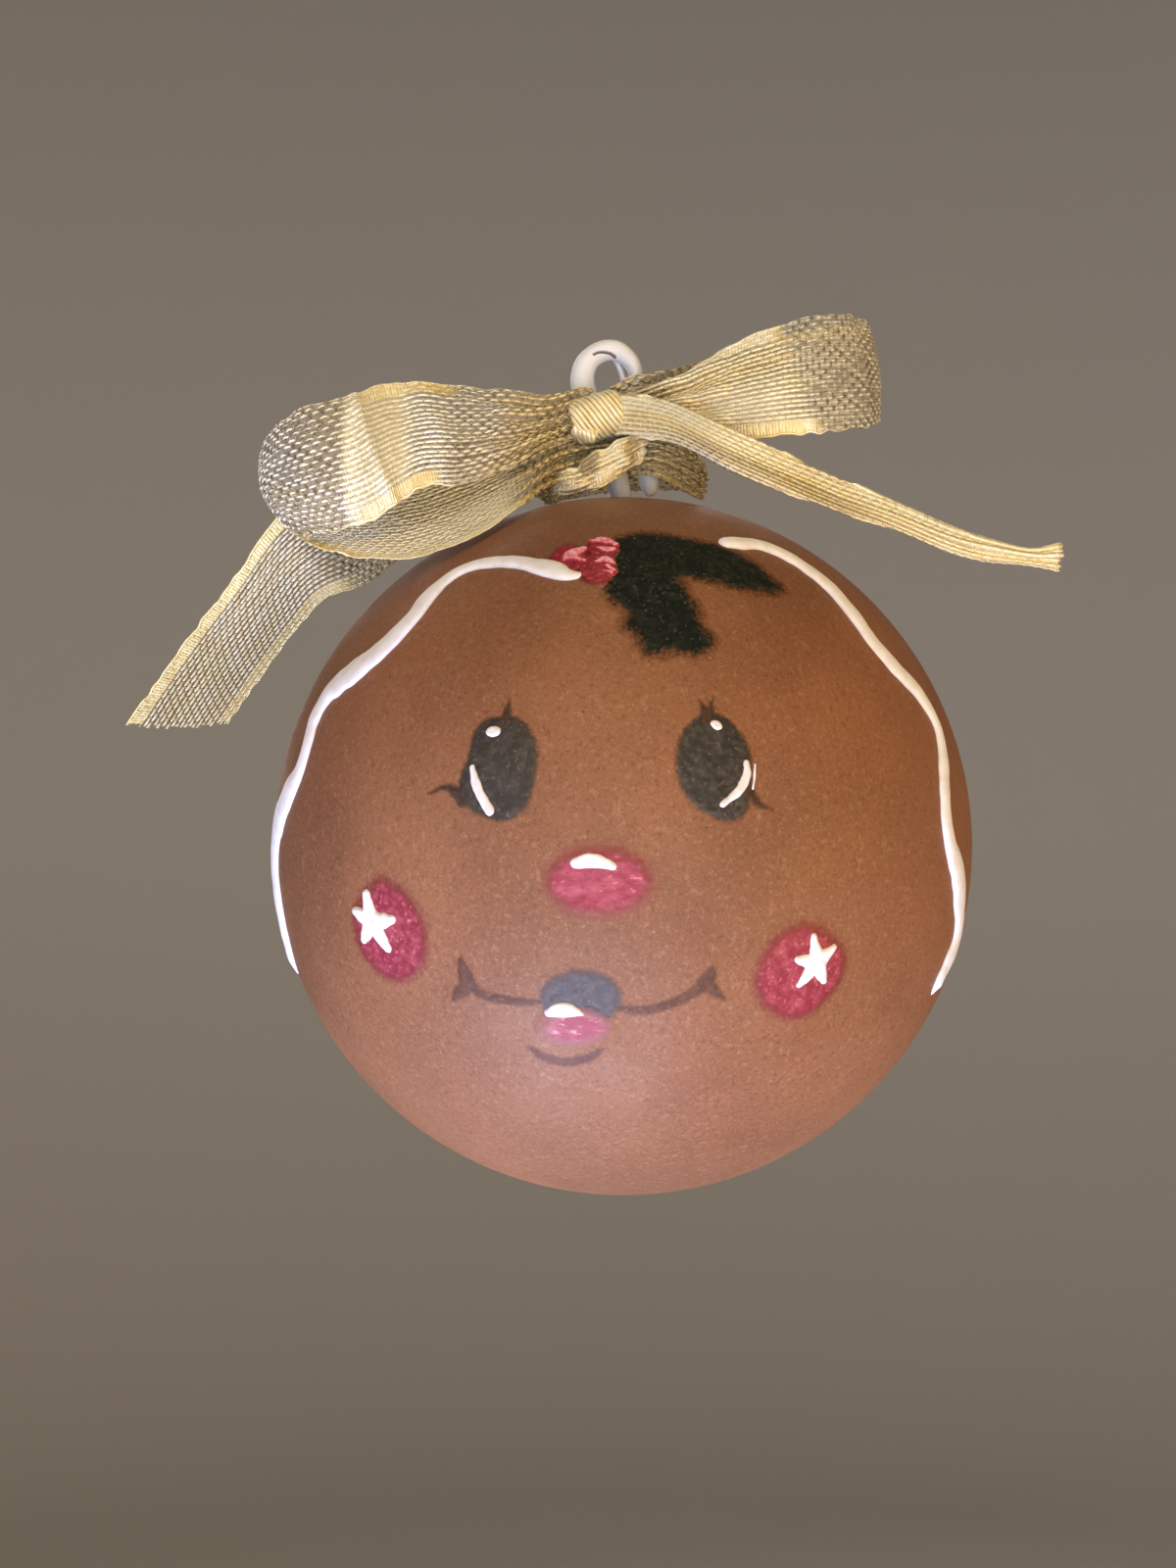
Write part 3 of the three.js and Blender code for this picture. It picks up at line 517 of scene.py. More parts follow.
# Painted shapes. Each knows the directions that it goes through, and how deep points lie inside it.

def distances(points, starts, ends):
    """Distance of each point to each straight stretch, and how far along the stretch it is nearest."""
    stretch = ends - starts
    away = points[:, None, :] - starts[None, :, :]
    share = (away * stretch).sum(-1) / np.maximum((stretch**2).sum(-1), 1e-12)
    share = np.clip(share, 0, 1)
    return np.linalg.norm(away - share[..., None] * stretch, axis=-1), share


class Outline:
    """A filled shape with a smooth closed outline, given in pixels."""

    def __init__(self, pixels, steps=6):
        self.directions = on_ball(closed_curve_through(pixels, steps))

    def depth(self, ground, points):
        starts = ground.flat(self.directions)
        ends = np.roll(starts, -1, axis=0)
        near = distances(points, starts, ends)[0].min(axis=1)
        u, v = points[:, 0][:, None], points[:, 1][:, None]
        crosses = (starts[:, 1] > v) != (ends[:, 1] > v)
        rise = np.where(ends[:, 1] == starts[:, 1], 1, ends[:, 1] - starts[:, 1])
        left_of = u < (ends[:, 0] - starts[:, 0]) * (v - starts[:, 1]) / rise + starts[:, 0]
        inside = (crosses & left_of).sum(axis=1) % 2 == 1
        return np.where(inside, near, -near)


class Stroke:
    """A brush stroke along a route in pixels, with its half width at each point of the route."""

    def __init__(self, pixels, half_widths, steps=6):
        self.directions = on_ball(curve_through(pixels, steps))
        self.radii = curve_through(np.asarray(half_widths, float), steps)

    def depth(self, ground, points):
        route = ground.flat(self.directions)
        away, share = distances(points, route[:-1], route[1:])
        return (self.radii[:-1] * (1 - share) + self.radii[1:] * share - away).max(axis=1)


def ellipse_px(left, top, right, bottom, tilt=0.0, count=14):
    """Points of an ellipse in pixels, turned clockwise by tilt degrees."""
    angles = np.linspace(0, 2 * math.pi, count, endpoint=False)
    turn = math.radians(tilt)
    x, y = (right - left) / 2 * np.cos(angles), (bottom - top) / 2 * np.sin(angles)
    return np.stack([(left + right) / 2 + x * math.cos(turn) - y * math.sin(turn),
                     (top + bottom) / 2 + x * math.sin(turn) + y * math.cos(turn)], 1)


def grid_line(places, pad, reach, step):
    """Even places from before the first of the given ones to after the last."""
    line = np.arange(places.min() - pad, places.max() + pad, step)
    return np.arange(line[0] - reach, line[-1] + reach, step) if reach else line


def add_paint(name, shapes, material, slot, height, step=0.16, margin=0.9, ragged=0.0, over=None,
              nodes=None):
    """Lays a skin of paint over the ball where the shapes are, and a margin round them. It may lie
    over another shape. It stands for the node of its own name, or else for the given nodes."""
    directions = np.concatenate([shape.directions for shape in shapes])
    ground = Ground(directions)
    places = ground.flat(directions)
    reach = max(shape.radii.max() if isinstance(shape, Stroke) else 0.0 for shape in shapes)
    across, above = (grid_line(places[:, axis], margin + step, reach, step) for axis in (0, 1))
    u, v = (axis.ravel() for axis in np.meshgrid(across, above))
    points = np.stack([u, v], 1)
    depth = np.max([shape.depth(ground, points) for shape in shapes], axis=0)
    depth = depth + ragged * smooth_noise(u, v, RAGGED_CELL, seed=5)
    quads = grid_quads(len(above), len(across))
    quads = quads[depth[quads].max(axis=1) > -margin]
    used, faces = np.unique(quads, return_inverse=True)
    faces = faces.reshape(-1, 4)
    u, v, depth = u[used], v[used], depth[used]
    covered = 0 * u if over is None else smoothstep(-0.3, 0.3, over.depth(ground, points[used]))
    lifted = ground.raised(u, v, height(depth, u, v))
    add_piece(f"{name}_paint", lifted, faces, material, slot, [name] if nodes is None else nodes,
              closed=False, depth=depth, covered=covered)


def add_dab(name, shapes, material, level, relief, edge=0.4, slot="light_paint", step=0.07, margin=0.14,
            ragged=0.05, **more):
    """A small thick dab that stands on paint of that level."""
    add_paint(name, shapes, material, slot, thick_coat(level, relief, edge), step, margin, ragged, **more)


def strokes(routes):
    return [Stroke(*route) for route in routes]


def thin_coat(relief=0.04, brush=0.03, margin=0.9, cell=0.5, seed=1):
    """Thin paint whose border sinks into the ball and whose middle has soft brush marks."""
    def height(depth, u, v):
        skin = SKIN * (2 * smoothstep(-margin, -0.5 * margin, depth) - 1)
        body = smoothstep(-0.1, 0.5, depth)
        marks = smooth_noise(u, v, cell, seed) + 0.5 * smooth_noise(u, v, cell / 2.3, seed + 1)
        return skin + body * (relief + brush * marks)
    return height


def thick_coat(level=0.04, relief=0.3, edge=0.45, seed=3):
    """Thick paint with a rounded edge, standing on paint of that level."""
    def height(depth, u, v):
        rise = np.sqrt(1 - (1 - np.clip(depth / edge, 0, 1)) ** 2)
        lumps = 1 + DAB_LUMPS * smooth_noise(u, v, 0.5, seed)
        return level + relief * rise * lumps + DAB_SLOPE * np.minimum(depth, 0)
    return height


# Face

# A stroke is its route in pixels, and its half width in millimetres at each point of the route.
# An ellipse is its left, top, right and bottom, and some have their tilt in degrees.
EYES_PX = {
    "left": {
        "outline": [(513, 730.7), (494, 735.5), (482.4, 750.8), (477.7, 771.8), (471, 791), (467, 812),
                    (478.6, 825.4), (494, 833), (511, 837.8), (526.4, 833), (539.8, 817.8), (547.5, 787),
                    (548.4, 764), (541.8, 745), (528.4, 732.6)],
        "lash_top": [([(517, 737), (517.5, 727), (520.3, 714)], [0.7, 0.42, 0.06])],
        "lash_side": [([(474, 815), (466, 809), (455, 803.5), (437, 810.5)], [0.8, 0.55, 0.3, 0.08])],
        "light": (496, 741.5, 511.5, 752, -12),
        "crescent": [([(482, 783), (485.5, 798), (492, 814), (500, 827)], [0.24, 0.4, 0.42, 0.42])],
    },
    "right": {
        "outline": [(722.3, 726.9), (739.5, 731.7), (754.8, 747), (764.4, 764), (767.2, 779.5),
                    (766.3, 802.4), (762.4, 827), (747, 837.8), (726, 833), (705, 817.7), (693.6, 798.6),
                    (690, 771.8), (695.5, 749), (707, 735.5)],
        "lash_top": [([(721, 736), (719, 726), (713.7, 714.4)], [0.75, 0.4, 0.06]),
                     ([(723, 732), (725, 723), (727, 712.5)], [0.6, 0.3, 0.06])],
        "lash_side": [([(763, 808), (768, 815), (777, 822), (789.2, 827.3)], [0.7, 0.42, 0.25, 0.06])],
        "light": (724.5, 736, 737.5, 744.5, 24),
        "crescent": [([(761.5, 778), (761.5, 792), (753, 807.5), (737, 821)], [0.24, 0.36, 0.4, 0.22]),
                     ([(770.5, 780), (770, 792), (768, 805)], [0.08, 0.1, 0.06])],
    },
}
CHEEKS_PX = {
    "left": {
        "outline": [(385.9, 895.5), (413.5, 908.8), (431.8, 936.3), (436.9, 966.9), (428.8, 992.4),
                    (405.3, 1002.7), (378.8, 986.3), (364.5, 961.8), (361.9, 927.1)],
        "star_middle": (379.5, 940.0),
        "star_tips": [(374.7, 912.5), (363.5, 930.0), (400.5, 938.5), (372.0, 958.0), (396.5, 967.5)],
        "star_half_widths": (0.95, 0.72, 0.42),
    },
    "right": {
        "outline": [(822.5, 941), (845.7, 950.4), (862.7, 970), (860, 995.9), (845.7, 1018.2), (825.2, 1036),
                    (802.9, 1040.5), (777.9, 1027.1), (768, 1003), (777, 975.4), (793.9, 953)],
        "star_middle": (833.2, 982.0),
        "star_tips": [(830.2, 956.0), (850.5, 966.0), (840.4, 1000.5), (815.4, 1004.5), (813.0, 978.5)],
        "star_half_widths": (0.9, 0.6, 0.28),
    },
}
NOSE_PX = (556.5, 863.0, 666.5, 936.0)
NOSE_LIGHT_PX = [([(588, 881), (600, 878.5), (613, 879.5), (625, 883.5)], [0.48, 0.6, 0.52, 0.34])]
MOUTH_PX = (550.5, 989.0, 635.0, 1047.0)
LIP_PX = (551.5, 1029.0, 622.5, 1066.5)
LIP_LIGHT_PX = [([(560, 1034), (570, 1031), (582, 1031), (594, 1034)], [0.3, 0.62, 0.55, 0.15])]
SMILE_LEFT_PX = [([(553, 1023.5), (520, 1021), (497, 1016.5), (483, 1008), (475.5, 996), (470.5, 979)],
                  [0.25, 0.46, 0.5, 0.55, 0.78, 0.28]),
                 ([(479, 1004), (470, 1012), (463, 1019)], [0.75, 0.66, 0.25])]
SMILE_RIGHT_PX = [([(628, 1028), (650, 1031), (672.6, 1027.5), (695.5, 1019.5), (714, 1008), (722, 999),
                    (727.6, 987)], [0.3, 0.46, 0.48, 0.48, 0.62, 0.78, 0.2]),
                  ([(720, 1003), (730, 1012), (740, 1020.5)], [0.72, 0.52, 0.15])]
CHIN_PX = [([(541, 1069), (556, 1079), (578, 1083.5), (600, 1079.5), (613, 1071)],
            [0.28, 0.5, 0.54, 0.5, 0.28])]

# How far paint stands out from the ball, in millimetres. The lip rises over its coat, and its light
# starts at a level of its own.
EYE_RELIEF = 0.06
CHEEK_RELIEF = 0.05
LIP_RISE = 0.06
LIP_LIGHT_LEVEL = 0.13


def eye_paint():
    return coat_material("eye_paint", (46, 42, 43), (62, 57, 57), (38, 32, 30), (88, 83, 83),
                         soft=0.32, fuzz=0.65, rim_depth=0.3, roughness=0.5)


def lash_paint():
    return coat_material("lash_paint", (56, 37, 30), (70, 47, 38), (62, 40, 31), (86, 62, 52),
                         soft=0.22, fuzz=0.55, rim_depth=0.25, roughness=0.5)


def add_eyes(white):
    dark, brown = eye_paint(), lash_paint()
    smooth = thin_coat(EYE_RELIEF, 0.03, seed=11)
    bumpy = thin_coat(EYE_RELIEF, 0.06, cell=0.4, seed=12)
    for side, coat in (("left", smooth), ("right", bumpy)):
        eye = EYES_PX[side]
        add_paint(f"eye_{side}", [Outline(eye["outline"])], dark, "eye_paint", coat)
        for lash in ("lash_top", "lash_side"):
            add_paint(f"eye_{side}_{lash}", strokes(eye[lash]), brown, "eye_paint", smooth, margin=0.5)
        add_dab(f"eye_{side}_light", [Outline(ellipse_px(*eye["light"]))], white, EYE_RELIEF, 0.16, 0.3)
        add_dab(f"eye_{side}_crescent", strokes(eye["crescent"]), white, EYE_RELIEF, 0.16, 0.3)


def cheek_paint():
    return coat_material("cheek_paint", (131, 39, 60), (156, 68, 84), (114, 38, 44), (190, 100, 116),
                         soft=0.65, fuzz=1.5, rim_depth=1.0, roughness=0.55)


def star(cheek):
    """Short strokes that start together and narrow towards their tips."""
    middle = np.array(cheek["star_middle"])
    return [Stroke([middle, (middle + tip) / 2, tip], cheek["star_half_widths"])
            for tip in cheek["star_tips"]]


def add_cheeks(white):
    pink = cheek_paint()
    coat = thin_coat(CHEEK_RELIEF, 0.05, cell=0.45, seed=21)
    for side, cheek in CHEEKS_PX.items():
        add_paint(f"cheek_{side}", [Outline(cheek["outline"])], pink, "cheek_paint", coat, margin=1.2)
        add_dab(f"cheek_{side}_star", star(cheek), white, 0.06, 0.26, step=0.08, ragged=0.07)


def nose_paint():
    return coat_material("nose_paint", (140, 44, 68), (162, 72, 94), (122, 46, 52), (190, 104, 122),
                         soft=0.8, fuzz=1.4, rim_depth=1.1, streak=(0.45, 1, 1), roughness=0.52)


def add_nose(white):
    coat = thin_coat(CHEEK_RELIEF, 0.05, cell=0.5, seed=31)
    add_paint("nose", [Outline(ellipse_px(*NOSE_PX))], nose_paint(), "cheek_paint", coat, margin=1.3)
    add_dab("nose_light", strokes(NOSE_LIGHT_PX), white, 0.06, 0.2)


MOUTH_GREY = (65, 59, 67)


def mouth_paint():
    return coat_material("mouth_paint", MOUTH_GREY, (78, 71, 79), (74, 60, 62), (94, 86, 94),
                         soft=0.4, fuzz=0.9, rim_depth=0.7, roughness=0.55)


def lip_paint():
    return coat_material("lip_paint", (140, 54, 76), (160, 92, 106), (132, 78, 84), (186, 128, 143),
                         soft=0.5, fuzz=0.9, rim_depth=0.9, streak=(0.45, 1, 1), roughness=0.55,
                         beneath=MOUTH_GREY)


def add_mouth(white):
    mouth = Outline(ellipse_px(*MOUTH_PX))
    add_paint("mouth", [mouth], mouth_paint(), "mouth_paint", thin_coat(0.04, 0.03, seed=41), margin=1.1)
    coat = thin_coat(CHEEK_RELIEF, 0.03, seed=42)

    def lip_height(depth, u, v):
        return coat(depth, u, v) + LIP_RISE * smoothstep(-0.7, 0.0, depth)

    add_paint("lower_lip", [Outline(ellipse_px(*LIP_PX))], lip_paint(), "cheek_paint", lip_height,
              margin=1.3, over=mouth)
    add_dab("lower_lip_light", strokes(LIP_LIGHT_PX), white, LIP_LIGHT_LEVEL, 0.18)


def line_paint():
    return coat_material("line_paint", (80, 47, 37), (94, 60, 48), (96, 58, 43), (108, 76, 66),
                         soft=0.2, fuzz=0.6, rim_depth=0.2)


def chin_paint():
    return coat_material("chin_paint", (80, 44, 37), (94, 57, 48), (102, 62, 52), (112, 76, 68),
                         soft=0.2, fuzz=0.7, rim_depth=0.25, cover=0.95)


def add_lines():
    brown, faint = line_paint(), chin_paint()
    coat = thin_coat(0.03, 0.015, margin=0.6, seed=51)
    lines = {"smile_left": (SMILE_LEFT_PX, brown), "smile_right": (SMILE_RIGHT_PX, brown),
             "chin_line": (CHIN_PX, faint)}
    for name, (routes, material) in lines.items():
        add_paint(name, strokes(routes), material, "line_paint", coat, margin=0.6)


# Holly

LEAVES_PX = {
    "upper": [(624, 552), (647, 545), (674, 545), (700, 549), (716, 552), (735, 557), (753, 565),
              (771, 575), (786, 588), (800, 602), (783, 606), (760, 603), (741, 598.4), (721, 594),
              (702, 590), (686, 588), (660, 586), (636, 578), (626, 566)],
    "lower": [(618, 588), (616.5, 600), (622, 614), (636, 625), (634, 640), (646, 647), (653, 661),
              (662, 670), (675, 669), (686, 665), (693, 669), (708, 669), (722, 666), (729, 652),
              (719, 641), (714, 626), (707, 611), (699, 598), (688, 580), (660, 568), (632, 562)],
}
BERRIES_PX = [(560.0, 556.0, 601.0, 586.0, -4.0), (597.0, 549.0, 632.0, 573.0), (587.0, 565.0, 630.0, 598.0)]
BERRY_DABS_PX = [
    [([(575, 574), (583, 568), (596, 562)], [0.25, 0.75, 0.5]),
     ([(588, 571), (597, 574)], [0.3, 0.25])],
    [([(603, 554), (614, 552.5), (627, 557)], [0.3, 0.5, 0.45]),
     ([(610, 561), (619, 563), (627, 562)], [0.25, 0.5, 0.3])],
    [([(609, 575), (618, 572), (626, 577)], [0.25, 0.45, 0.3]),
     ([(615, 584), (624, 586)], [0.2, 0.35]),
     ([(620, 579), (627, 584)], [0.25, 0.25])],
]
BERRY_RELIEF = 0.13
BERRY_RISE = 0.07
BERRY_DAB_LEVEL = 0.2


def holly_paint():
    return coat_material("holly_paint", (16, 23, 23), (32, 38, 36), (30, 26, 20), (66, 72, 68), soft=0.85,
                         fuzz=1.9, rim_depth=0.6, roughness=0.75, specular=0.15, beneath=(44, 46, 43))


def add_leaves():
    green = holly_paint()
    coat = thin_coat(0.05, 0.05, cell=0.45, seed=61)
    leaves = {name: Outline(outline) for name, outline in LEAVES_PX.items()}
    for name, other in (("upper", "lower"), ("lower", "upper")):
        add_paint(f"holly_leaf_{name}", [leaves[name]], green, "holly_paint", coat, margin=1.1, ragged=0.25,
                  over=leaves[other])


def berry_paint():
    return coat_material("berry_paint", (132, 22, 46), (158, 38, 64), (96, 18, 30), (198, 92, 116),
                         soft=0.25, fuzz=0.7, rim_depth=0.5, roughness=0.45)


def berry_light_paint():
    return coat_material("berry_light_paint", (244, 172, 200), (218, 108, 142), (166, 42, 72),
                         (250, 200, 218), soft=0.12, fuzz=0.5, rim_depth=0.25, roughness=0.42,
                         beneath=(140, 28, 52))


def add_berries():
    red, pink = berry_paint(), berry_light_paint()
    coat = thin_coat(BERRY_RELIEF, 0.03, seed=62)

    def domed(depth, u, v):
        return coat(depth, u, v) + BERRY_RISE * smoothstep(-0.3, 0.2, depth)

    for number, (ellipse, dabs) in enumerate(zip(BERRIES_PX, BERRY_DABS_PX), start=1):
        name, berry = f"holly_berry_{number}", Outline(ellipse_px(*ellipse))
        add_paint(name, [berry], red, "berry_paint", domed, margin=0.6)
        add_dab(f"{name}_light", strokes(dabs), pink, BERRY_DAB_LEVEL, 0.12, 0.3, "berry_paint",
                margin=0.16, ragged=0.16, over=berry, nodes=[])


# Icing. Its routes are in degrees on the ball, to the right and up. Its widths are shares of the
# icing's usual width, one for each point of the route.

ICING_LEFT_DEGREES = [
    (-7, 45.6), (-9.5, 44.5), (-12.5, 44.6), (-15.5, 45.8), (-19.5, 46.9), (-25, 48.1), (-31, 48.5),
    (-36.5, 48), (-41, 45.8), (-43.4, 41.5), (-44, 37.5), (-46.8, 33), (-51, 29.4), (-56, 26.8),
    (-60.3, 24), (-61.8, 20), (-61.4, 16), (-62.3, 12), (-65.5, 9), (-69.5, 5.5), (-73, 2),
    (-74.5, -3), (-74.5, -8), (-74.5, -13), (-75.7, -17.5), (-77, -21),
]
ICING_LEFT_SHARES = [
    0.12, 0.4, 0.72, 1.0, 0.95, 0.76, 0.8, 0.7, 0.78, 1.05, 1.15, 1.25, 1.45, 1.55,
    1.25, 1.05, 0.92, 1, 1.5, 1.8, 1.85, 1.6, 1.5, 1.3, 0.9, 0.2,
]
ICING_RIGHT_DEGREES = [
    (24, 53.4), (30, 53.6), (36, 53.7), (41.5, 52), (46, 48.4), (48.9, 43.5), (49.6, 38), (50.6, 32.8),
    (54, 28.2), (58.7, 24), (61.2, 19.5), (60.3, 15.5), (58.3, 11), (57, 5.5), (58, 1), (61.5, -3),
    (64.5, -7.2), (67.5, -11.7), (68.3, -15), (66.3, -18.2), (64.4, -21), (63.8, -23.2),
]
ICING_RIGHT_SHARES = [
    0.7, 0.9, 0.86, 0.9, 0.98, 1.12, 1.02, 1.03, 1.1, 0.95, 0.7, 0.78, 0.87, 0.95, 1.1, 1.4,
    1.5, 1.2, 1.45, 1.3, 0.9, 0.15,
]
ICING_STEP = 0.22
ICING_SECTION = 14
ICING_EDGE = 0.02
ICING_SUNK = 0.15
ICING_RIDGE = 0.02
ICING_RIDGE_SHIFT = 40
ICING_WAVER = 0.07
ICING_LUMPS = 0.12
ICING_TIP_SHARE = 0.05
ICING_FOOT_SHARE = 0.8


def icing_line(degrees, shares, seed):
    """Points along an icing line: their directions, their half widths, and how far along they lie."""
    rows = np.concatenate([from_degrees(degrees) * BALL_RADIUS, np.asarray(shares)[:, None]], 1)
    places, length = even_places(rows, lambda points: points[:, :3], ICING_STEP)
    line = catmull_rom(rows, places)
    along = np.linspace(0, length, len(places))
    half = line[:, 3] * ICING_WIDTH / 2 * (1 + ICING_WAVER * smooth_noise(along, 0 * along, 1.1, seed))
    return unit(line[:, :3]), half, along


def add_icing_line(name, degrees, shares, material, seed):
    towards, half, along = icing_line(degrees, shares, seed)
    end = np.minimum(along, along[-1] - along)
    blunt = np.sqrt(1 - (1 - np.clip(end / np.maximum(half, 0.2), 0, 1)) ** 2)
    half = half * np.maximum(blunt, ICING_TIP_SHARE)
    sideways = unit(np.cross(towards, np.gradient(towards, axis=0)))
    across = np.sin(np.linspace(-math.pi / 2, math.pi / 2, ICING_SECTION))
    crown = np.sqrt(1 - across**2) ** 0.8
    lumps = 1 + ICING_LUMPS * smooth_noise(along, 0 * along, 1.6, seed + 1)
    rise = ICING_RELIEF * np.clip(half / (0.4 * ICING_WIDTH), 0.35, 1.0) * blunt * lumps
    ridge_at = along[:, None] + 0 * across, ICING_RIDGE_SHIFT + 3 * across * half[:, None]
    ridges = ICING_RIDGE * smooth_noise(*ridge_at, 0.9, seed + 2)
    heights = np.concatenate([rise[:, None] * crown + ridges * crown - ICING_EDGE,
                              np.full((len(along), 2), -ICING_SUNK)], 1)
    sides = np.concatenate([across, [ICING_FOOT_SHARE, -ICING_FOOT_SHARE]]) * half[:, None]
    angle = sides / BALL_RADIUS
    spots = np.cos(angle)[..., None] * towards[:, None, :] + np.sin(angle)[..., None] * sideways[:, None, :]
    points = BALL_CENTRE + spots * (BALL_RADIUS + heights)[..., None]
    add_piece(f"{name}_paint", points.reshape(-1, 3), tube_faces(len(along), ICING_SECTION + 2), material,
              "icing_paint", [name])


def add_icing():
    material = icing_paint()
    add_icing_line("icing_left", ICING_LEFT_DEGREES, ICING_LEFT_SHARES, material, 71)
    add_icing_line("icing_right", ICING_RIGHT_DEGREES, ICING_RIGHT_SHARES, material, 75)


# Hook

HOOK_ROUNDING = 3
GROOVE_PX = [(606, 357), (611, 355), (617, 354.8), (623, 356), (628, 359)]
GROOVE_HALF_WIDTH = 0.17
GROOVE_DEPTH = 0.4
HOOK_LIP_PX = [(620, 359), (628, 368), (634, 380), (638, 396)]
HOOK_LIP_DEPTHS = [0.7, 0.8, 0.8, 0.7]
HOOK_LIP_HALF_WIDTH = 0.26
HOOK_LIP_HALF_DEPTH = 0.34
HOOK_LIP_SIDES = 12


def at_depth(pixels, depths):
    """Points that the camera sees at these pixels, at the given depths along Y."""
    return CAMERA_AT + sight_lines(pixels) * (np.asarray(depths, float) - CAMERA_AT[1])[:, None]


def smooth_copy(node, levels):
    """The node's mesh with its facets joined into four-sided faces and rounded off."""
    copy = bpy.data.objects.new("copy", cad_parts[node].data.copy())
    bpy.context.scene.collection.objects.link(copy)
    work = bmesh.new()
    work.from_mesh(copy.data)
    bmesh.ops.remove_doubles(work, verts=work.verts, dist=0.001 * MM)
    bmesh.ops.join_triangles(work, faces=work.faces, angle_face_threshold=0.7, angle_shape_threshold=1.2)
    work.to_mesh(copy.data)
    work.free()
    copy.modifiers.new("round", "SUBSURF").levels = levels
    rounded = bpy.data.meshes.new_from_object(copy.evaluated_get(bpy.context.evaluated_depsgraph_get()))
    bpy.data.objects.remove(copy)
    points = np.array([vertex.co for vertex in rounded.vertices]) / MM
    return points, [list(face.vertices) for face in rounded.polygons]


def add_hook():
    points, faces = smooth_copy("hanger_hook", HOOK_ROUNDING)
    route = curve_through(GROOVE_PX, 6)
    route = at_depth(route, np.full(len(route), knot_low[1] / 2))[:, [0, 2]]
    away = distances(points[:, [0, 2]], route[:-1], route[1:])[0].min(axis=1)
    # The dent is pressed in, and the same mask paints shade into it.
    groove = smoothstep(GROOVE_HALF_WIDTH, 0.3 * GROOVE_HALF_WIDTH, away) * (points[:, 1] < 0)
    points[:, 1] += GROOVE_DEPTH * groove
    material = plastic_material()
    add_piece("hook", points, faces, material, "hook_plastic", ["hanger_hook"], groove=groove)
    add_hook_lip(material)


def add_hook_lip(material):
    """A thin moulded lip inside the hook's eye."""
    route = curve_through(at_depth(HOOK_LIP_PX, HOOK_LIP_DEPTHS), 8)
    sideways = unit(np.cross(unit(np.gradient(route, axis=0)), [0.0, 1.0, 0.0]))
    turns = np.linspace(0, 2 * math.pi, HOOK_LIP_SIDES, endpoint=False)[None, :, None]
    points = (route[:, None, :] + HOOK_LIP_HALF_WIDTH * np.cos(turns) * sideways[:, None, :]
              + HOOK_LIP_HALF_DEPTH * np.sin(turns) * np.array([0.0, 1.0, 0.0])).reshape(-1, 3)
    add_piece("hook_lip", points, tube_faces(len(route), HOOK_LIP_SIDES), material, "hook_plastic",
              groove=np.zeros(len(points)))


# Ribbon. Each row across a stretch gives its upper edge, its middle and its lower edge, each as a
# pixel of the photograph with its depth along Y.

LOOP_LEFT_ROWS_PX = [
    [(604, 399, -2.2), (604, 418, -2.8), (604, 438, -2.6)],
    [(590, 398, -2.8), (590, 418, -3.4), (590, 441, -3.2)],
    [(576, 404, -3.6), (574, 424, -4.6), (573, 448, -4.6)],
    [(556, 407, -4.2), (556, 430, -6.0), (555, 454, -5.8)],
    [(515, 401, -5.4), (515, 437, -8.2), (518, 477, -8.8)],
    [(462, 393, -6.0), (466, 440, -9.8), (470, 493, -11.0)],
    [(402, 392, -7.0), (414, 442, -10.8), (428, 497, -12.5)],
    [(350, 406, -10.5), (364, 467, -13.5), (384, 528, -13.5)],
    [(300, 421, -11.5), (315, 482, -14.0), (345, 541, -14.0)],
    [(271, 448, -9.5), (272, 500, -11.0), (314, 546, -14.2)],
    [(272, 478, -6.0), (280, 522, -9.0), (320, 557, -14.6)],
    [(300, 500, -4.8), (318, 538, -10.0), (353, 564, -15.2)],
    [(355, 507, -5.5), (372, 545, -10.8), (395, 571, -15.6)],
    [(412, 503, -6.0), (424, 540, -11.0), (436, 566, -15.6)],
    [(470, 484, -5.8), (480, 521, -10.0), (488, 545, -14.8)],
    [(530, 462, -4.8), (533, 491, -8.0), (536, 513, -11.5)],
    [(562, 448, -3.6), (562, 472, -5.4), (562, 496, -5.4)],
    [(590, 438, -3.0), (590, 464, -3.8), (590, 488, -3.4)],
    [(616, 436, -2.4), (616, 460, -2.9), (616, 480, -2.6)],
    [(644, 438, -2.2), (644, 458, -2.6), (644, 474, -2.3)],
]
LOOP_RIGHT_ROWS_PX = [
    [(627, 411, -2.1), (627, 422, -2.6), (627, 436, -2.3)],
    [(641, 406, -2.6), (641, 420, -3.2), (641, 436, -2.8)],
    [(668, 393, -3.4), (668, 415, -4.4), (670, 440, -4.2)],
    [(702, 374, -4.4), (704, 408, -6.0), (708, 446, -6.0)],
    [(745, 352, -5.4), (748, 398, -7.6), (752, 447, -7.8)],
    [(792, 333, -6.0), (794, 388, -9.0), (798, 443, -9.6)],
    [(838, 322, -6.0), (842, 381, -9.0), (846, 440, -9.8)],
    [(872, 323, -4.6), (880, 380, -7.0), (883, 436, -7.6)],
    [(887, 333, -2.2), (897, 384, -3.5), (898, 430, -4.2)],
    [(872, 333, 0.0), (883, 387, -0.5), (884, 436, -1.0)],
    [(835, 335, 0.8), (842, 386, 0.8), (842, 439, 0.6)],
    [(790, 347, 1.3), (795, 390, 1.6), (796, 440, 1.6)],
    [(740, 362, 1.3), (742, 402, 2.0), (744, 440, 2.2)],
    [(706, 372, 0.6), (706, 406, 1.0), (706, 440, 1.4)],
    [(676, 380, -1.6), (676, 408, -1.2), (676, 438, 0.0)],
    [(648, 388, -2.3), (648, 410, -2.3), (648, 436, -1.4)],
    [(622, 399, -2.3), (622, 416, -2.4), (622, 435, -1.8)],
]
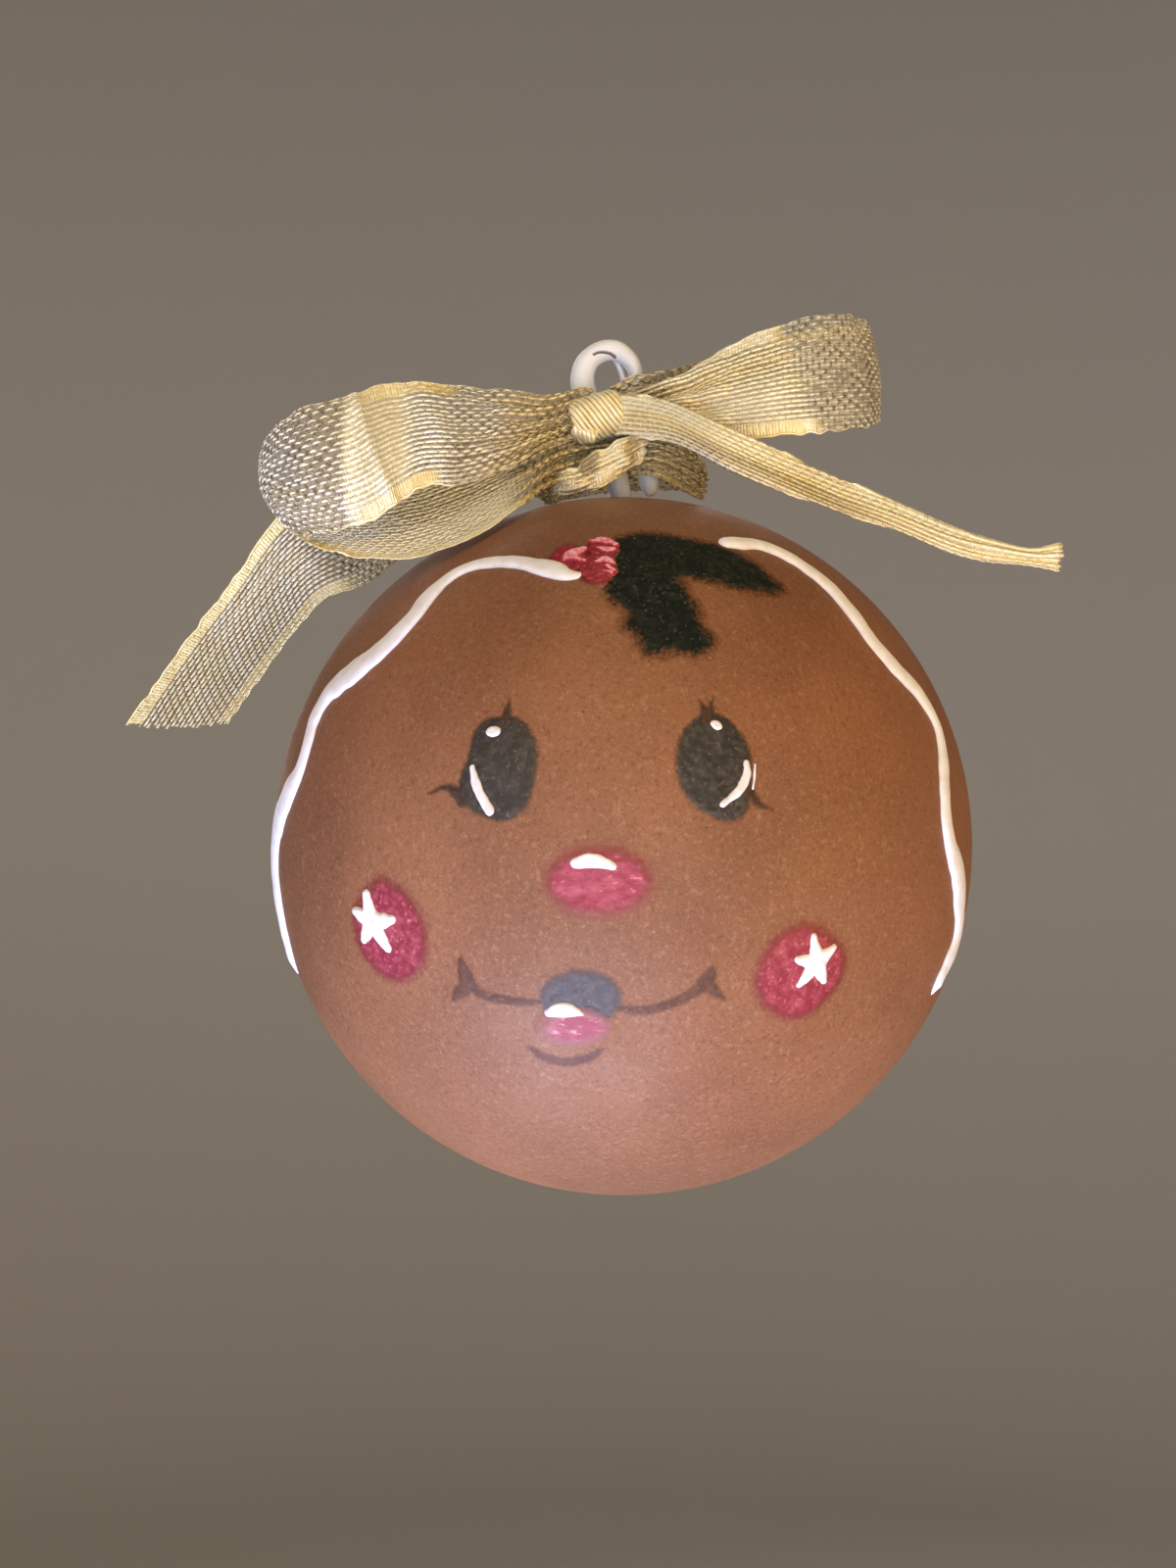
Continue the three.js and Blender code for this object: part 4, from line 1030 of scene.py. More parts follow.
TAIL_LEFT_ROWS_PX = [
    [(574, 432, -0.8), (574, 442, -0.4), (574, 454, -0.8)],
    [(540, 436, 0.2), (540, 458, 1.0), (540, 478, 0.8)],
    [(495, 440, 0.4), (495, 470, 1.6), (500, 505, 1.6)],
    [(440, 452, 0.6), (445, 490, 2.0), (455, 532, 2.4)],
    [(385, 470, 0.4), (395, 515, 2.2), (408, 568, 3.4)],
    [(325, 496, 0.6), (345, 545, 3.6), (372, 597, 5.4)],
    [(280, 534, 2.6), (302, 575, 5.4), (334, 608, 8.2)],
    [(240, 590, 4.4), (268, 620, 7.4), (303, 641, 12.0)],
    [(190, 655, 6.0), (222, 682, 9.8), (262, 696, 14.0)],
    [(131, 738, 7.6), (171, 759, 11.8), (205, 775, 15.5)],
]
TAIL_RIGHT_ROWS_PX = [
    [(627, 403, -3.8), (627, 424, -4.3), (627, 446, -3.8)],
    [(641, 402, -4.8), (642, 424, -5.6), (641, 445, -5.0)],
    [(684, 409, -6.8), (684, 431, -8.6), (690, 454, -7.6)],
    [(737, 432, -10.2), (737, 456, -11.8), (745, 481, -10.8)],
    [(792, 458, -10.2), (796, 482, -11.7), (801, 503, -10.8)],
    [(851, 486, -8.4), (853, 506, -9.6), (856, 522, -8.8)],
    [(911, 511, -6.1), (913, 528, -7.0), (914, 542, -6.4)],
    [(978, 539, -4.0), (980, 555, -4.8), (982, 569, -4.4)],
    [(1045, 560, -2.6), (1047, 568, -2.9), (1048, 577, -2.8)],
    [(1082, 555, -1.8), (1081, 569, -2.2), (1079, 583, -2.0)],
]


def pleat_depth(width, pleats):
    """How deep that many even pleats are that take up the cloth wider than its stretch."""
    excess = np.sqrt(np.maximum((CLOTH_SHARE * RIBBON_WIDTH / width) ** 2 - 1, 0))
    return PLEAT_STEEPNESS * excess * width / (2 * math.pi * pleats)


def pleated(pleats, phase, most=0.9):
    """Where a stretch is narrower than its cloth, the cloth lies in even pleats."""
    def section(v, width):
        depth = np.minimum(pleat_depth(width, pleats), most)
        across = np.broadcast_to(v, (len(width), len(v)))
        return across, depth[:, None] * np.sin(2 * math.pi * pleats * v + phase)
    return section


def folded_in_three(gap, ripples=8):
    """A front panel as wide as the stretch, with the rest of the cloth folded behind it at both edges.
    Where three panels can't take all the cloth, they ripple."""
    def section(v, width):
        share = np.clip(width / RIBBON_WIDTH, *PANEL_SHARES)[:, None]
        fold = (1 - share) / 2
        tuck = np.minimum(fold / share, DEEPEST_TUCK)
        ripple = pleat_depth((1 + 2 * tuck) * width[:, None], ripples) * np.sin(2 * math.pi * ripples * v)
        upper = np.clip((fold - v) / fold, 0, 1)
        lower = np.clip((v - fold - share) / fold, 0, 1)
        front = np.clip((v - fold) / share, 0, 1)
        across = np.where(upper > 0, upper * tuck, np.where(lower > 0, 1 - lower * tuck, front))
        behind = gap * (smoothstep(0, FOLD_TURN, upper) + 2 * smoothstep(0, FOLD_TURN, lower))
        return across, behind + ripple
    return section


def rows_in_view(rows_px):
    """Rows of points from rows of pixels with their depths."""
    rows = np.array(rows_px, float)
    return at_depth(rows[..., :2].reshape(-1, 2), rows[..., 2].ravel()).reshape(rows.shape)


def cloth_points(rows, section, wrinkles, seed):
    """Points of the cloth on a grid along and across the ribbon, with the length of the stretch."""
    places, length = even_places(rows, lambda points: points[:, 1], WEFT_PITCH / 2)
    upper, middle, lower = (catmull_rom(rows, places)[:, which][:, None, :] for which in range(3))
    width = (np.linalg.norm(upper - middle, axis=-1) + np.linalg.norm(middle - lower, axis=-1))[:, 0]
    v = np.linspace(0, 1, 2 * round(RIBBON_WIDTH / WARP_PITCH) + 1)
    across, offset = section(v, width)
    a = across[..., None]
    base = upper * (1 - a) * (1 - 2 * a) + middle * 4 * a * (1 - a) + lower * a * (2 * a - 1)
    sideways = upper * (4 * a - 3) + middle * (4 - 8 * a) + lower * (4 * a - 1)
    normal = unit(np.cross(np.gradient(base, axis=0), sideways))
    along = np.linspace(0, length, len(places))
    lift = offset + wrinkles(along[:, None] + 0 * v, v + 0 * along[:, None])
    points = base + normal * lift[..., None]
    out = points - BALL_CENTRE
    reach = np.linalg.norm(out, axis=-1, keepdims=True)
    floor = BALL_RADIUS + BALL_CLEARANCE
    points = BALL_CENTRE + out * np.maximum(1, floor / reach)
    for edge, inwards in ((0, 1), (-1, -2)):
        scallop = SCALLOP * smooth_noise(along, 0 * along + edge, SCALLOP_CELL, seed)
        points[:, edge] += scallop[:, None] * unit(points[:, edge] - points[:, inwards])
    return points, length


def cloth_frame(points):
    """Unit vectors along, across and out of the cloth at each of its points."""
    along = unit(np.gradient(points, axis=0))
    across = unit(np.gradient(points, axis=1))
    return along, across, unit(np.cross(along, across))


def tubes(centres, sides, normals, half_widths):
    """Four-sided closed tubes along rows of centres."""
    lines, count = centres.shape[:2]
    wide, high = sides * half_widths[..., None], normals * THREAD_HALF_HEIGHT
    points = np.stack([centres + wide, centres + high, centres - wide, centres - high], 2).reshape(-1, 3)
    start = ((np.arange(lines) * count)[:, None] + np.arange(count - 1)).reshape(-1, 1) * 4
    faces = [start + [k, (k + 1) % 4, 4 + (k + 1) % 4, 4 + k] for k in range(4)]
    first = (np.arange(lines) * count * 4)[:, None]
    faces += [first + [3, 2, 1, 0], first + 4 * (count - 1) + [0, 1, 2, 3]]
    return points, np.concatenate(faces)


def crossings(steps, columns):
    """1 where a warp thread passes over a weft thread, -1 where it passes under one, and else 0."""
    row, column = np.arange(steps)[:, None], np.arange(columns)[None, :]
    return np.where((row % 2 == 1) & (column % 2 == 1), 1 - 2 * (((row + column) // 2) % 2), 0)


def warp_mesh(points, axes, warp, weave, rng, fray, look):
    """Threads along the ribbon. They drift a little where the weave is loose, and may fray at the end."""
    along, across, normal = axes
    steps, count = len(points), len(warp)
    loose, satin, selvage = (look[key][:, warp].T for key in ("loose", "satin", "selvage"))
    drift = np.sin(np.linspace(0, 0.5 * steps, steps)[None, :] * rng.uniform(0.1, 0.3, (count, 1))
                   + rng.uniform(0, 6, (count, 1)))
    drift *= THREAD_DRIFT + LOOSE_DRIFT * loose
    sides = across[:, warp].transpose(1, 0, 2)
    centres = (points + weave)[:, warp].transpose(1, 0, 2) + sides * drift[..., None]
    if fray:
        centres[:, -1] += along[-1, warp] * rng.uniform(0.1, fray, (count, 1))
    half = WARP_HALF_WIDTH * rng.uniform(*WARP_SPREAD, (count, 1)) * (1 - 0.3 * loose + 0.5 * satin)
    half[1:-1] *= 1 - 0.9 * selvage[1:-1]
    half[[0, -1]] *= 0.6
    return tubes(centres, sides, normal[:, warp].transpose(1, 0, 2), half)


def weft_mesh(points, axes, weft, weave, rng, look):
    """Threads across the ribbon, whose ends stand out a little from its edges."""
    along, across, normal = axes
    ends = np.zeros((1, points.shape[1], 1))
    ends[0, 0], ends[0, -1] = -WEFT_END, WEFT_END
    centres = points[weft] - weave[weft] + across[weft] * ends
    half = WEFT_HALF_WIDTH * rng.uniform(*WEFT_SPREAD, (len(weft), 1)) * (1 - 0.3 * look["loose"][weft])
    return tubes(centres, along[weft], normal[weft], half)


def thread_mesh(points, rng, fray, look):
    """Warp and weft threads of a stretch of cloth, with the look of each of their points."""
    axes = cloth_frame(points)
    steps, columns = points.shape[:2]
    crossing = crossings(steps, columns)
    weave = (THREAD_WEAVE * (1 + 1.4 * look["loose"]) * crossing)[..., None] * axes[2]
    warp = np.array([0, *range(1, columns, 2), columns - 1])
    weft = np.arange(1, steps - 1, 2)
    warp_points, warp_faces = warp_mesh(points, axes, warp, weave, rng, fray, look)
    uneven = rng.uniform(-0.12, 0.12, columns)
    weft_points, weft_faces = weft_mesh(points, axes, weft, weave, rng, look)

    # Painted shade: warps darken where they pass under wefts, wefts between warps, both in hollows.
    under = look["loose"] * smoothstep(0.3, -0.6, crossing)
    between_warps = (np.arange(columns)[None, :] % 2 == 0) * (1 - look["satin"])
    warp_shade = look["shade"] + 0.7 * under + 0.6 * look["hollow"]
    weft_shade = look["shade"] + WEFT_SHADE * between_warps + 0.2 * look["loose"] + 0.5 * look["hollow"]

    def of_threads(on_warp, on_weft):
        both = np.concatenate([np.repeat(on_warp[:, warp].T.ravel(), 4), np.repeat(on_weft[weft].ravel(), 4)])
        return np.clip(both, 0, 1)

    faces = np.concatenate([warp_faces, weft_faces + len(warp_points)])
    return np.concatenate([warp_points, weft_points]), faces, {
        "golden": of_threads(look["golden"] + uneven, look["golden"]),
        "glint": of_threads(look["glint"], look["glint"]),
        "shade": of_threads(warp_shade, weft_shade)}


def between(values, start, end, soft):
    """1 from start to end, and fading to 0 outside."""
    return smoothstep(start - soft, start + soft, values) * (1 - smoothstep(end - soft, end + soft, values))


def ridge(values, place, breadth):
    return np.exp(-(((values - place) / breadth) ** 2))


def ribbon_look(s, v, describe, seed):
    """How the cloth looks at each point: how golden, how loosely woven, how satin, and where it has
    painted highlights and painted shade.
    """
    described = describe(s, v)
    keys = ("loose", "golden", "glint", "satin", "shade", "gaps", "shown")
    look = {key: described.get(key, float(key == "shown")) + 0 * s for key in keys}
    from_edge = np.minimum(v, 1 - v) * RIBBON_WIDTH
    selvage = 1 - smoothstep(SELVAGE - 0.25, SELVAGE + 0.25, from_edge)
    shown = look.pop("shown")
    uneven = smooth_noise(s, v * RIBBON_WIDTH, 1.8, seed)
    look["selvage"] = selvage * shown
    look["golden"] = look["golden"] + 0.14 * uneven + 0.75 * selvage * shown
    look["glint"] = look["glint"] * (1 + 0.4 * uneven)
    look["satin"] = np.maximum.reduce([look["satin"], look["selvage"], LOOSE_VEIL * look["loose"],
                                       0.5 * look["gaps"]])
    # The hollow key is painted shade: darker spots in a pebble pattern where the weave is loose.
    slip = 0.35 * smooth_noise(s, v * RIBBON_WIDTH, 2.4, seed + 7)
    pebbles = (np.sin(2 * math.pi * (s / PEBBLE + slip))
               * np.sin(2 * math.pi * (v * RIBBON_WIDTH / PEBBLE - slip)))
    look["hollow"] = look["loose"] * smoothstep(0.05, -0.6, pebbles)
    return {key: np.clip(values, 0, 1) for key, values in look.items()}


def add_ribbon(name, rows, section, cloth, seed, describe, wrinkles, cut=None, fray=0.0,
               nodes=None):
    """One stretch of the ribbon: its sheer filling as a sheet, and its threads."""
    film, thread = cloth
    points, length = cloth_points(rows, section, wrinkles, seed)
    if cut is not None:
        points = cut(points)
    steps, columns = points.shape[:2]
    s = np.linspace(0, length, steps)[:, None] + np.zeros((1, columns))
    v = np.linspace(0, 1, columns)[None, :] + np.zeros((steps, 1))
    look = ribbon_look(s, v, describe, seed)
    # Painted shade on the film: darker in loose weave, in the pebble hollows and between threads.
    film_shade = look["shade"] + 0.3 * look["loose"] + 0.4 * look["hollow"] + look["gaps"]
    sheet = add_piece(f"{name}_cloth", points.reshape(-1, 3), grid_quads(steps, columns), film, "gold_ribbon",
                      [name] if nodes is None else nodes, closed=False, golden=look["golden"],
                      glint=look["glint"], shade=film_shade, satin=look["satin"], along=s)
    thread_points, faces, looks = thread_mesh(points, np.random.default_rng(seed), fray, look)
    threads = add_piece(f"{name}_threads", thread_points, faces, thread, "gold_ribbon", **looks)


def folds(*ridges, seed, crumple, cell):
    """Ridges across the ribbon, and small soft wrinkles all over it."""
    def lift(s, v):
        total = crumple * smooth_noise(s, v * RIBBON_WIDTH, cell, seed)
        for place, slant, breadth, height in ridges:
            total = total + height * np.exp(-(((s - place - slant * (v - 0.5)) / breadth) ** 2))
        return total
    return lift


def slanted_end(reach):
    """Cuts the last stretch of the grid on a slant, shorter at the lower edge."""
    def cut(points):
        steps, columns = points.shape[:2]
        result = points.copy()
        index = np.arange(steps, dtype=float)
        for column in range(columns):
            shortened = (steps - 1) * (1 - reach * column / (columns - 1))
            places = index * shortened / (steps - 1)
            for axis in range(3):
                result[:, column, axis] = np.interp(places, index, points[:, column, axis])
        return result
    return cut


# How each stretch looks. Places along it, s, are in millimetres from its start, and places across
# it, v, are shares of its width from its upper edge. A pair says where a look starts and ends.

# In each look, glint is a painted highlight, and shade is painted shade.
LOOP_LEFT_SLANT = 3.4
LOOP_LEFT_NEAR_ROOT_END = (15, 18)
LOOP_LEFT_CREAM_SHEEN = (20, 27)
LOOP_LEFT_CREASE_GLINT = 27.2
LOOP_LEFT_TURN = (28.4, 38.5)
LOOP_LEFT_FAR_ROOT_START = (63, 67)


def loop_left_look(s, v):
    slanted = s - LOOP_LEFT_SLANT * (v - 0.5)
    turn = between(slanted, *LOOP_LEFT_TURN, 0.9)
    # Painted highlights along a fold and over a pale band, which is also denser and more golden.
    crease_glint = ridge(slanted, LOOP_LEFT_CREASE_GLINT, 0.8)
    front, back = 1 - smoothstep(28, 30, s), smoothstep(37, 40, s)
    near_root = 1 - smoothstep(*LOOP_LEFT_NEAR_ROOT_END, s)
    far_root = smoothstep(*LOOP_LEFT_FAR_ROOT_START, s)
    root = np.maximum(near_root, far_root)
    cream_sheen = between(slanted, *LOOP_LEFT_CREAM_SHEEN, 1.2)
    return {
        "loose": 0.75 * root + turn + 0.15 * between(s, 47, 61, 3),
        "golden": 0.04 + 0.61 * (1 - smoothstep(7, 13, s)) + 0.66 * back + 0.1 * cream_sheen,
        "glint": (0.9 * crease_glint * between(v, 0.08, 0.92, 0.08) + 0.5 * cream_sheen
                  + 0.6 * ridge(slanted, 18, 1.6) * between(v, 0.35, 0.8, 0.12)
                  + 0.8 * between(s, 41, 47, 1.2) * between(v, 0.15, 0.7, 0.12)
                  + 0.6 * between(s, 46, 65, 3) * smoothstep(0.2, 0.6, v)),
        "satin": (0.5 * cream_sheen + 0.6 * crease_glint
                  + 0.4 * between(s, 40, 63, 3) * smoothstep(0.3, 0.7, v) + 0.7 * smoothstep(66, 71, s)),
        "shade": 0.06 * (1 - smoothstep(3, 11, s)) + 0.2 * smoothstep(66, 74, s),
        "shown": (between(slanted, 16.5, 26.5, 1.0) * front
                  + between(s, 38, 70, 1.5) * smoothstep(0.6, 0.8, v)),
    }


LOOP_RIGHT_SLANT = 3.5
LOOP_RIGHT_GLINT = 18.4
LOOP_RIGHT_TURN = (19.4, 34)
LOOP_RIGHT_EDGE = 31.5


def loop_right_look(s, v):
    slanted = s - LOOP_RIGHT_SLANT * (v - 0.5)
    edge = ridge(s, LOOP_RIGHT_EDGE, 1.2)
    turn = between(slanted, *LOOP_RIGHT_TURN, 1.2) * (1 - 0.8 * edge)
    return {
        "loose": turn + 0.3 * (1 - smoothstep(4, 7, s)) + smoothstep(43, 46, s),
        "golden": 0.6 - 0.6 * turn,
        "glint": (0.45 * between(s, 9, 20, 3) * between(v, 0.45, 0.95, 0.15)
                  + 0.7 * (1 - smoothstep(0.14, 0.2, v)) * (1 - smoothstep(16, 18, s))
                  + 0.6 * ridge(slanted, LOOP_RIGHT_GLINT, 0.6) * smoothstep(0.55, 0.85, v)
                  + 0.6 * turn),
        "satin": 0.4 * between(s, 6, 18, 2) * between(v, 0.5, 1, 0.15) + 0.8 * edge,
        "shade": 0.2 * (1 - smoothstep(3, 9, s)),
        "shown": (1 - turn) * (1 - smoothstep(41, 44, s)),
    }


TAIL_LEFT_PINCH_END = (27, 33)
TAIL_LEFT_SHEER = (0.14, 0.86)


def tail_left_look(s, v):
    pinch = 1 - smoothstep(*TAIL_LEFT_PINCH_END, s)
    sheer = between(v, *TAIL_LEFT_SHEER, 0.03)
    return {
        "loose": 0.9 * pinch,
        "golden": 0.6 + 0.15 * smoothstep(42, 56, s),
        # Painted shade: the sheer middle is darkened between the threads and made denser.
        "gaps": 0.9 * (1 - pinch) * sheer,
        "shade": 0.2 + 0.22 * sheer,
        "shown": (1 - pinch) * (1 - 0.4 * smoothstep(0.5, 0.8, v)),
    }


TAIL_RIGHT_ROOT_END = (12, 17)
TAIL_RIGHT_FAR_START = (22, 30)
TAIL_RIGHT_UPPER_BAND = (0.18, 0.44)
TAIL_RIGHT_LOWER_BAND = (0.64, 0.8)


def tail_right_look(s, v):
    root, far = 1 - smoothstep(*TAIL_RIGHT_ROOT_END, s), smoothstep(*TAIL_RIGHT_FAR_START, s)
    upper, lower = between(v, *TAIL_RIGHT_UPPER_BAND, 0.05), between(v, *TAIL_RIGHT_LOWER_BAND, 0.04)
    return {
        "golden": 0.8 + 0.2 * root,
        "glint": 0.55 * upper + 0.45 * lower + 0.3 * root + 0.35 * far,
        "satin": 0.9 * upper + 0.5 * lower + 0.2 + 0.4 * root + 0.2 * far,
        "shade": 0.3 * between(v, 0.5, 0.62, 0.03) * between(s, 10, 30, 4),
    }


# Ridges across a stretch: their place along it, slant, breadth and height
LOOP_LEFT_RIDGES = [(17.5, -2, 1.6, 0.3), (21, 3, 0.9, -0.25), (24.6, -1.4, 0.6, 0.35), (11, 3, 1.5, 0.25),
                    (43, 4, 1.4, 0.3)]
LOOP_RIGHT_RIDGES = [(9, 3, 1.0, 0.2), (28, 2, 1.0, 0.2)]
TAIL_LEFT_RIDGES = [(30, 2, 1.5, 0.2)]


def add_bow(cloth):
    add_ribbon("ribbon_loop_left", rows_in_view(LOOP_LEFT_ROWS_PX), pleated(4, 0.6, 0.5), cloth, 101,
               loop_left_look, folds(*LOOP_LEFT_RIDGES, seed=81, crumple=0.14, cell=1.6))
    add_ribbon("ribbon_loop_right", rows_in_view(LOOP_RIGHT_ROWS_PX), pleated(3, 2.0), cloth, 102,
               loop_right_look, folds(*LOOP_RIGHT_RIDGES, seed=82, crumple=0.1, cell=1.8))
    add_ribbon("ribbon_tail_left", rows_in_view(TAIL_LEFT_ROWS_PX), pleated(4, 1.1), cloth, 103,
               tail_left_look, folds(*TAIL_LEFT_RIDGES, seed=83, crumple=0.06, cell=2.2),
               cut=slanted_end(0.09), fray=0.5)
    add_ribbon("ribbon_tail_right", rows_in_view(TAIL_RIGHT_ROWS_PX), folded_in_three(0.3), cloth, 104,
               tail_right_look, folds(seed=84, crumple=0.06, cell=3.0), fray=0.4)


# Knot and wrap

KNOT = {"length": 5.3, "height": 4.8, "depth": 4.2, "tilt": math.radians(-17), "turns": 10}
FOLD = {"length": 2.6, "height": 1.7, "depth": 1.6, "tilt": math.radians(24), "turns": 5}
FOLD_PX = (597, 441)
FOLD_DEPTH = -4.4
KNOT_PITCH = 0.5
KNOT_END_SHARE = 0.72
KNOT_CAP_START = 0.985
KNOT_CAP_SHARE = 0.35
KNOT_GROOVES = 0.07
KNOT_SLACK = 0.04
KNOT_UNEVEN = 0.02
KNOT_RINGS = 220
KNOT_SIDES = 200


def add_barrel(name, centre, thread, seed, length, height, depth, tilt, turns, nodes=()):
    """A tight turn of ribbon: a barrel whose surface is made of threads lying side by side. Each
    thread moves along the barrel by that many thread widths while it goes round once."""
    end = np.linspace(-1, 1, KNOT_RINGS)[:, None]
    turn = np.linspace(0, 2 * math.pi, KNOT_SIDES, endpoint=False)[None, :]
    swell = KNOT_END_SHARE + (1 - KNOT_END_SHARE) * np.sqrt(1 - end**4)
    swell = np.where(np.abs(end) > KNOT_CAP_START, KNOT_CAP_SHARE * swell, swell)
    x = end * length / 2 + 0 * turn
    phase = x / KNOT_PITCH - turns * turn / (2 * math.pi)
    number = np.floor(phase).astype(int) % turns
    crest = np.abs(np.sin(math.pi * phase))
    slack = np.random.default_rng(seed).uniform(0, 1, turns)[number]
    uneven = KNOT_UNEVEN * smooth_noise(x, turn * 3, 1.2, seed)
    radius = 1 - KNOT_GROOVES + KNOT_GROOVES * crest**0.6 - KNOT_SLACK * slack + uneven
    y, z = -np.sin(turn) * depth / 2 * swell * radius, np.cos(turn) * height / 2 * swell * radius
    cosine, sine = math.cos(tilt), math.sin(tilt)
    rotated = np.stack([x * cosine + z * sine, y, z * cosine - x * sine], -1)
    # Painted shade between turns, more on slack ones, and a painted highlight on tight ones.
    shade = smoothstep(0.5, 0.1, crest) * (0.4 + 0.6 * slack)
    add_piece(name, (rotated + centre).reshape(-1, 3), tube_faces(KNOT_RINGS, KNOT_SIDES), thread,
              "gold_ribbon", nodes, golden=0.45 + 0.3 * slack, glint=0.35 * (1 - slack), shade=shade)


def edges_in_view(upper_px, lower_px, depths):
    """The upper edge, middle line and lower edge of a stretch whose two edges lie equally deep."""
    upper, lower = at_depth(upper_px, depths), at_depth(lower_px, depths)
    return upper, (upper + lower) / 2, lower


WRAP_UPPER_PX = [(640, 436), (668, 436), (690, 445), (704, 457), (712, 470), (704, 462), (682, 450),
                 (650, 444), (615, 442), (590, 450), (570, 470), (558, 490), (563, 499)]
WRAP_LOWER_PX = [(644, 484), (668, 486), (692, 498), (706, 506), (714, 508), (705, 502), (681, 500),
                 (650, 500), (615, 503), (586, 508), (567, 512), (558, 512), (564, 512)]
WRAP_DEPTHS = [-3.0, -3.4, -2.4, -0.2, 2.3, 4.8, 6.0, 6.4, 6.0, 4.4, 1.8, -0.8, -2.6]
WRAP_AXIS = 2.0
WRAP_WAIST = 0.8


def wrap_rows():
    """Rows of the turn round the back of the hook's legs."""
    upper, middle, lower = edges_in_view(WRAP_UPPER_PX, WRAP_LOWER_PX, WRAP_DEPTHS)
    inwards = middle - [BALL_CENTRE[0] + WRAP_AXIS, 0, 0]
    inwards[:, 2] = 0
    return np.stack([upper, middle + WRAP_WAIST * unit(inwards), lower], 1)


STRAP_UPPER_PX = [(565, 492), (572, 482), (588, 474), (606, 465), (624, 456), (642, 449), (662, 444)]
STRAP_LOWER_PX = [(566, 500), (577, 505), (594, 504), (612, 499), (628, 490), (643, 480), (658, 468)]
STRAP_DEPTHS = [-3.2, -4.4, -5.2, -5.5, -5.5, -5.0, -4.0]
STRAP_BULGE = 0.7


def strap_rows():
    """Rows of the short band from the wrap up to the knot."""
    upper, middle, lower = edges_in_view(STRAP_UPPER_PX, STRAP_LOWER_PX, STRAP_DEPTHS)
    return np.stack([upper, middle + [0, -STRAP_BULGE, 0], lower], 1)


def wrap_look(s, v):
    # An even painted highlight and a little painted shade.
    return {"loose": 0.8, "golden": 0.95, "glint": 0.2, "shade": 0.03, "shown": 0.5}


def strap_look(s, v):
    # Painted highlights and painted shade in soft blotches, like light on crinkled satin.
    crumple_light_and_shade = smooth_noise(s, v * RIBBON_WIDTH, 1.3, 94)
    return {"loose": 0.1, "golden": 0.8, "glint": 0.5 + 0.5 * crumple_light_and_shade, "satin": 1.0,
            "shade": 0.45 * smoothstep(0.25, 0.6, -crumple_light_and_shade)}


def add_knot_and_wrap(cloth):
    thread = cloth[1]
    add_barrel("knot", KNOT_CENTRE, thread, 91, nodes=["ribbon_knot"], **KNOT)
    add_barrel("knot_fold", at_depth([FOLD_PX], [FOLD_DEPTH])[0], thread, 92, **FOLD)
    add_ribbon("ribbon_wrap", wrap_rows(), pleated(7, 0.3), cloth, 105, wrap_look,
               folds(seed=85, crumple=0.3, cell=1.6))
    add_ribbon("ribbon_strap", strap_rows(), folded_in_three(0.25), cloth, 106,
               strap_look, folds(seed=86, crumple=0.5, cell=1.1), nodes=[])


# Stage, lights and camera

FLOOR_LEVEL = -600.0
STAGE_RADIUS = 1700.0
STAGE_RIM = 500.0
STAGE_HEIGHT = 2000.0
STAGE_SIDES = 96
STAGE_MIDDLE_SHARE = 0.01
STAGE_FLAT_RINGS = 6
STAGE_RIM_RINGS = 16


def stage_paper():
    shader = Shader("stage_paper", roughness=0.9, specular=0.2)
    shader.set("Base Color", srgb(226, 223, 218))
    return shader.material


def add_stage():
    """A round pale floor whose rim sweeps up into a backdrop on all sides."""
    floor_radius = STAGE_RADIUS - STAGE_RIM
    sweep = np.linspace(0, math.pi / 2, STAGE_RIM_RINGS + 1)[1:]
    flat = np.linspace(STAGE_MIDDLE_SHARE, 1, STAGE_FLAT_RINGS) * floor_radius
    across = np.concatenate([flat, floor_radius + STAGE_RIM * np.sin(sweep), [STAGE_RADIUS]])
    up = np.concatenate([0 * flat, STAGE_RIM * (1 - np.cos(sweep)), [STAGE_HEIGHT]]) + FLOOR_LEVEL
    turns = np.linspace(0, 2 * math.pi, STAGE_SIDES, endpoint=False)
    points = np.stack([across[:, None] * np.cos(turns), across[:, None] * np.sin(turns),
                       up[:, None] + 0 * turns], -1).reshape(-1, 3)
    quads = grid_quads(len(across), STAGE_SIDES, closed_columns=True)[:, ::-1]
    faces = quads.tolist() + [list(range(STAGE_SIDES))]
    add_object("stage_floor", points, faces, stage_paper())


